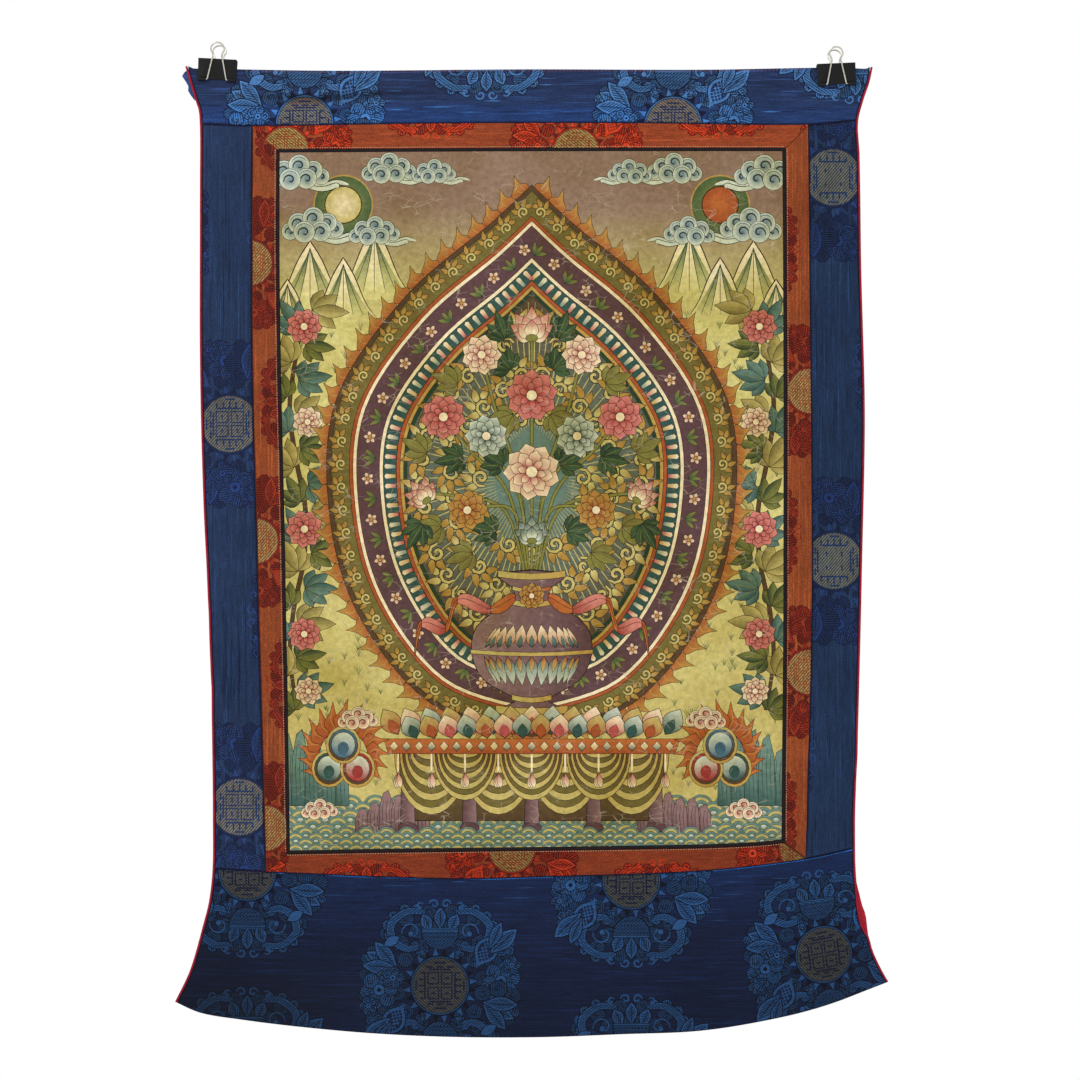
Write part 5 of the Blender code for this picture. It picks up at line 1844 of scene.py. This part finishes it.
near, far = GAP, GAP + PIPING_WIDTH
middle = (near + far) / 2
piping_layer = -LAYER_STEP - (PIPING_THICKNESS - BROCADE_THICKNESS) / 2
left_far, right_far = line_of(CANVAS_LEFT, -far), line_of(CANVAS_RIGHT, far)
pipings = []
for name, rows, sign in (("top", CANVAS_TOP, 1), ("bottom", CANVAS_BOTTOM, -1)):
    line = line_of(rows, sign * middle)
    path = stretch(meeting(line, left_far)[0], meeting(line, right_far)[0], line, False)
    pipings.append((f"piping_{name}", make_cord(
        f"{name}_piping", path, PIPING_WIDTH, PIPING_THICKNESS, piping_layer, black_silk)))
for name, rows, sign in (("left", CANVAS_LEFT, -1), ("right", CANVAS_RIGHT, 1)):
    line = line_of(rows, sign * middle)
    top, low = meeting(line_of(CANVAS_TOP), line)[1], meeting(line_of(CANVAS_BOTTOM), line)[1]
    path = stretch(top, low, line, True)
    pipings.append((f"piping_{name}", make_cord(
        f"{name}_piping", path, PIPING_WIDTH, PIPING_THICKNESS, piping_layer, black_silk)))
for node, cord in pipings:
    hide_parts(node)

for name, rows, sign in (("left", OUTER_LEFT, 1), ("right", OUTER_RIGHT, -1)):
    line = line_of(rows, sign * BINDING_WIDTH / 2)
    path = stretch(meeting(line_of(TOP_EDGE, -GAP), line)[1], meeting(line_of(HEM), line)[1], line, True)
    edging = make_cord(f"{name}_edging", path, BINDING_WIDTH, BROCADE_THICKNESS, -LAYER_STEP, red_edging)
    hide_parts(f"edge_binding_{name}")

# %% [markdown]
# ### Stitches
# The borders are held down by running stitches of cream thread beside the piping, and the seams by dark
# thread. The flap of the pocket is stitched to the lining behind, and a line of rose thread runs under
# the top fold.

# %% Stitches
def evenly(path, pitch):
    """Places along a path at an even pitch, and the direction of the path at each."""
    length = np.concatenate([[0], np.cumsum(np.linalg.norm(np.diff(path, axis=0), axis=1))])
    at = np.arange(pitch, length[-1] - pitch, pitch)
    spots = np.stack([np.interp(at, length, path[:, k]) for k in (0, 1)], 1)
    ahead = np.stack([np.interp(at + 0.4, length, path[:, k]) for k in (0, 1)], 1) - spots
    return spots, ahead / np.linalg.norm(ahead, axis=1)[:, None]


FACE_LAYER = -LAYER_STEP - BROCADE_THICKNESS / 2


def make_stitches(name, path, pitch, length, wide, finish, layer=FACE_LAYER):
    """A row of thread beads, each thick in the middle and tucked into the cloth at both ends."""
    outward = math.copysign(1.0, layer)
    spots, run = evenly(path, pitch)
    side = np.stack([-run[:, 1], run[:, 0]], 1)
    rings = []
    sections = ((-0.5, 0.35, -0.12), (-0.25, 0.9, 0.12), (0.25, 0.9, 0.12), (0.5, 0.35, -0.12))
    for along_share, girth, lift in sections:
        for corner in range(5):
            angle = corner / 5 * 2 * math.pi
            flat = spots + run * length * along_share + side * wide / 2 * girth * math.cos(angle)
            rings.append(hang(flat, layer + outward * lift + wide / 2 * girth * math.sin(angle)))
    points = np.stack(rings, 1)
    faces = [tuple(range(5)), tuple(range(19, 14, -1))]
    for ring in range(3):
        for corner in range(5):
            a, b = ring * 5 + corner, ring * 5 + (corner + 1) % 5
            faces.append((b, a, a + 5, b + 5))
    rows = [tuple(k * 20 + v for v in face) for k in range(len(points)) for face in faces]
    mesh = bpy.data.meshes.new(name)
    mesh.from_pydata((points.reshape(-1, 3) * MM).tolist(), [], rows)
    mesh.materials.append(finish)
    row = bpy.data.objects.new(name, mesh)
    bpy.context.scene.collection.objects.link(row)
    bpy.context.view_layer.objects.active = row
    row.select_set(True)
    bpy.ops.object.mode_set(mode="EDIT")
    bpy.ops.mesh.select_all(action="SELECT")
    bpy.ops.mesh.normals_make_consistent(inside=False)
    bpy.ops.object.mode_set(mode="OBJECT")
    bpy.ops.object.shade_smooth_by_angle(angle=math.radians(60))
    row.select_set(False)
    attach(row, "root")
    print(name, len(points), "stitches")
    return row


def border_row(name, path):
    return make_stitches(f"{name}_border_stitches", path, 2.1, 1.25, 0.5, cream_thread)


def seam_row(name, path):
    return make_stitches(f"{name}_seam_stitches", path, 2.4, 1.5, 0.5, dark_thread)


inner = BORDER_INSET + 0.9
left_in, right_in = line_of(CANVAS_LEFT, -inner), line_of(CANVAS_RIGHT, inner)
border_stitches = []
for name, rows, sign in (("upper", CANVAS_TOP, 1), ("lower", CANVAS_BOTTOM, -1)):
    line = line_of(rows, sign * inner)
    path = stretch(meeting(line, left_in)[0], meeting(line, right_in)[0], line, False)
    border_stitches.append(border_row(name, path))
for name, line in (("left", left_in), ("right", right_in)):
    top, low = meeting(line_of(CANVAS_TOP, inner), line)[1], meeting(line_of(CANVAS_BOTTOM, -inner), line)[1]
    border_stitches.append(border_row(name, stretch(top, low, line, True)))

top_seam, bottom_seam = line_of(TOP_SEAM, 1.3), line_of(BOTTOM_SEAM, -1.5)
seam_row("upper", stretch(-270, 272, top_seam, False))
seam_row("lower", stretch(-258, 270, bottom_seam, False))
for name, rows, sign in (("left", SEAM_LEFT, -1), ("right", SEAM_RIGHT, 1)):
    seam_row(name, stretch(-70, -676, line_of(rows, sign * 1.3), True))
rose_thread = plain_cloth("rose_thread", rgb(150, 84, 88), 0.3, 0.7, object_mm)
hem_line = line_of(TOP_EDGE, -3.4)
make_stitches(
    "fold_stitches", stretch(-238, 236, hem_line, False), 3.2, 1.7, 0.5, rose_thread)
flap_line = line_of(((-280, FLAP_END), (280, FLAP_END)), 2.5)
make_stitches(
    "flap_stitches", stretch(-272, 274, flap_line, False), 4.2, 2.6, 0.5, rose_thread,
    -FACE_LAYER)
back_hem = line_of(HEM, 9.0)
make_stitches(
    "hem_stitches", stretch(-280, 292, back_hem, False), 4.6, 2.6, 0.5, rose_thread,
    LINING_THICKNESS / 2)


# %% [markdown]
# ## The binder clips
# The mount hangs from two binder clips. Each body is one strip of spring steel, bent round its spine,
# with lips that curl round the wire's two feet and are notched to let its legs through. The section is
# drawn as a row of points, swept along the clip's width, and given the steel's thickness.

# %% Clip bodies
CLIP_WIDTH = 32.0
STEEL = 0.6
NOTCH_HALF_WIDTH = 9.0
ROLL_RADIUS = 1.4
ROLL_SWEEP_DEG = 260.0
ROLL_STEPS = 16
SPINE_HALF_WIDTH = 6.5
SPINE_HEIGHT = 17.0
SPINE_BEND = 0.9
LIP_OFFSET = 2.7
PIN_OFFSET = 4.1
CLIPS = (("clip_left", -260.4, -27.8, 3.0), ("clip_right", 260.0, -31.5, -2.3))


def clip_section():
    """The bent strip's section, as points across the clip and up it."""
    angles = [math.radians(180 + ROLL_SWEEP_DEG * k / ROLL_STEPS) for k in range(ROLL_STEPS, -1, -1)]
    half = [(PIN_OFFSET + ROLL_RADIUS * math.cos(a), ROLL_RADIUS * math.sin(a)) for a in angles]
    lean = (SPINE_HALF_WIDTH - LIP_OFFSET) / SPINE_HEIGHT
    half.append((SPINE_HALF_WIDTH - SPINE_BEND * lean, SPINE_HEIGHT - SPINE_BEND))
    half.append((SPINE_HALF_WIDTH - SPINE_BEND * 0.3, SPINE_HEIGHT - SPINE_BEND * 0.3))
    half.append((SPINE_HALF_WIDTH - SPINE_BEND, SPINE_HEIGHT))
    return [(-out, up) for out, up in half] + [(out, up) for out, up in reversed(half)]


def settle(piece, across, height, tilt_deg):
    """Puts a clip's piece in its place in the mesh itself, tilted as its clip hangs."""
    bpy.ops.object.select_all(action="DESELECT")
    piece.select_set(True)
    bpy.context.view_layer.objects.active = piece
    piece.rotation_euler = (0, math.radians(tilt_deg), 0)
    piece.location = (across * MM, 0, height * MM)
    bpy.ops.object.transform_apply(location=True, rotation=True, scale=True)
    piece.select_set(False)


def make_clip_body(name, across, height, tilt_deg):
    section = clip_section()
    bpy.ops.mesh.primitive_grid_add(x_subdivisions=3, y_subdivisions=len(section) - 1, size=1.0)
    body = bpy.context.object
    body.name = name
    stations = (-CLIP_WIDTH / 2, -NOTCH_HALF_WIDTH, NOTCH_HALF_WIDTH, CLIP_WIDTH / 2)
    for number, vert in enumerate(body.data.vertices):
        row, column = divmod(number, len(stations))
        vert.co = Vector((stations[column], *section[row])) * MM
    bpy.ops.object.mode_set(mode="EDIT")
    bpy.ops.mesh.select_all(action="DESELECT")
    bpy.ops.object.mode_set(mode="OBJECT")
    for face in body.data.polygons:
        row, column = divmod(face.index, 3)
        face.select = column == 1 and (row < ROLL_STEPS or row >= len(section) - 1 - ROLL_STEPS)
    bpy.ops.object.mode_set(mode="EDIT")
    bpy.ops.mesh.select_mode(type="FACE")
    bpy.ops.mesh.delete(type="FACE")
    bpy.ops.mesh.select_all(action="SELECT")
    bpy.ops.mesh.normals_make_consistent(inside=False)
    bpy.ops.object.mode_set(mode="OBJECT")
    thick = body.modifiers.new("thickness", "SOLIDIFY")
    thick.thickness = STEEL * MM
    thick.offset = 0.0
    thick.use_even_offset = True
    bpy.ops.object.modifier_apply(modifier=thick.name)
    round_edges = body.modifiers.new("edges", "BEVEL")
    round_edges.width = 0.12 * MM
    round_edges.segments = 2
    round_edges.angle_limit = math.radians(50)
    bpy.ops.object.modifier_apply(modifier=round_edges.name)
    bpy.ops.object.shade_smooth_by_angle(angle=math.radians(40))
    settle(body, across, height, tilt_deg)
    body.data.materials.append(black_steel)
    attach(body, "root")
    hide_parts(name.replace("_steel", "_body"))
    return body


clip_bodies = [make_clip_body(f"{name}_steel", *placed) for name, *placed in CLIPS]
print("clip bodies", [len(body.data.polygons) for body in clip_bodies])

# %% [markdown]
# ### Wire handles
# Each handle is one spring wire: two straight feet that turn in the curled lip, two legs that lean
# together, and a loop. It is drawn as one half, mirrored, and given the wire's round section.

# %% Wire handles
WIRE_RADIUS = 0.7
PIN_END = 15.0
PIN_BEND_RADIUS = 1.2
LEG = ((7.75, 1.2), (6.1, 9.0), (4.3, 17.6), (3.75, 20.2), (4.35, 22.6), (5.2, 24.0))
LOOP_RADIUS = 5.6
LOOP_MIDDLE = 25.5


def handle_half():
    corner = LEG[0][0] + PIN_BEND_RADIUS
    points = [(PIN_END, 0.0)]
    for k in range(6):
        angle = math.pi / 2 * k / 6
        points.append((corner - PIN_BEND_RADIUS * math.sin(angle), PIN_BEND_RADIUS * (1 - math.cos(angle))))
    points.extend(curve(LEG, 4).tolist())
    for k in range(13):
        angle = math.pi / 2 * k / 12
        points.append((LOOP_RADIUS * math.cos(angle), LOOP_MIDDLE + LOOP_RADIUS * math.sin(angle)))
    return points


def make_handle(name, side, across, height, tilt_deg):
    half = handle_half()
    path = half + [(-x, up) for x, up in reversed(half[:-1])]
    lean = Vector((SPINE_HALF_WIDTH - LIP_OFFSET, SPINE_HEIGHT)).normalized()
    wire = bpy.data.curves.new(name, "CURVE")
    wire.dimensions = "3D"
    wire.bevel_depth = WIRE_RADIUS * MM
    wire.bevel_resolution = 4
    wire.use_fill_caps = True
    line = wire.splines.new("POLY")
    line.points.add(len(path) - 1)
    for point, (x, up) in zip(line.points, path):
        point.co = (x * MM, side * (PIN_OFFSET + up * lean.x) * MM, up * lean.y * MM, 1.0)
    handle = bpy.data.objects.new(name, wire)
    bpy.context.scene.collection.objects.link(handle)
    bpy.ops.object.select_all(action="DESELECT")
    handle.select_set(True)
    bpy.context.view_layer.objects.active = handle
    bpy.ops.object.convert(target="MESH")
    handle = bpy.context.object
    bpy.ops.object.mode_set(mode="EDIT")
    bpy.ops.mesh.select_all(action="SELECT")
    bpy.ops.mesh.remove_doubles(threshold=0.01 * MM)
    bpy.ops.mesh.normals_make_consistent(inside=False)
    bpy.ops.object.mode_set(mode="OBJECT")
    bpy.ops.object.shade_smooth_by_angle(angle=math.radians(50))
    settle(handle, across, height, tilt_deg)
    handle.data.materials.clear()
    handle.data.materials.append(wire_steel)
    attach(handle, "root")
    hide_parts(name.replace("_wire", "_handle"))
    return handle


handles = []
for name, *placed in CLIPS:
    for word, side in (("front", -1), ("back", 1)):
        handles.append(make_handle(f"{name}_wire_{word}", side, *placed))
print("handles", [len(handle.data.polygons) for handle in handles])


# %% [markdown]
# ## What each cloth was cut from
# Every sheet's flat cut is printed with its size and area.

# %% Flat sizes
def flat_area(outline):
    return abs(signed_area(outline)) * MM * MM


def declare(cloth, outline):
    size = (outline.max(0) - outline.min(0)) * MM
    area = min(flat_area(outline), float(size[0] * size[1]))
    print(cloth.name, "flat", [round(float(v), 3) for v in size], "area", round(area, 4))


declare(cloths["upper_brocade"], top_outline())
declare(cloths["left_brocade"], left_outline)
declare(cloths["right_brocade"], right_outline)
declare(cloths["lower_brocade"], bottom_outline)
for (name, _, level, sign, *_), stitches in zip(borders, border_stitches):
    declare(cloths[name], border_outline(level, sign))
declare(cloths["painting"], canvas_outline)
declare(cloths["lining"], lining_outline)
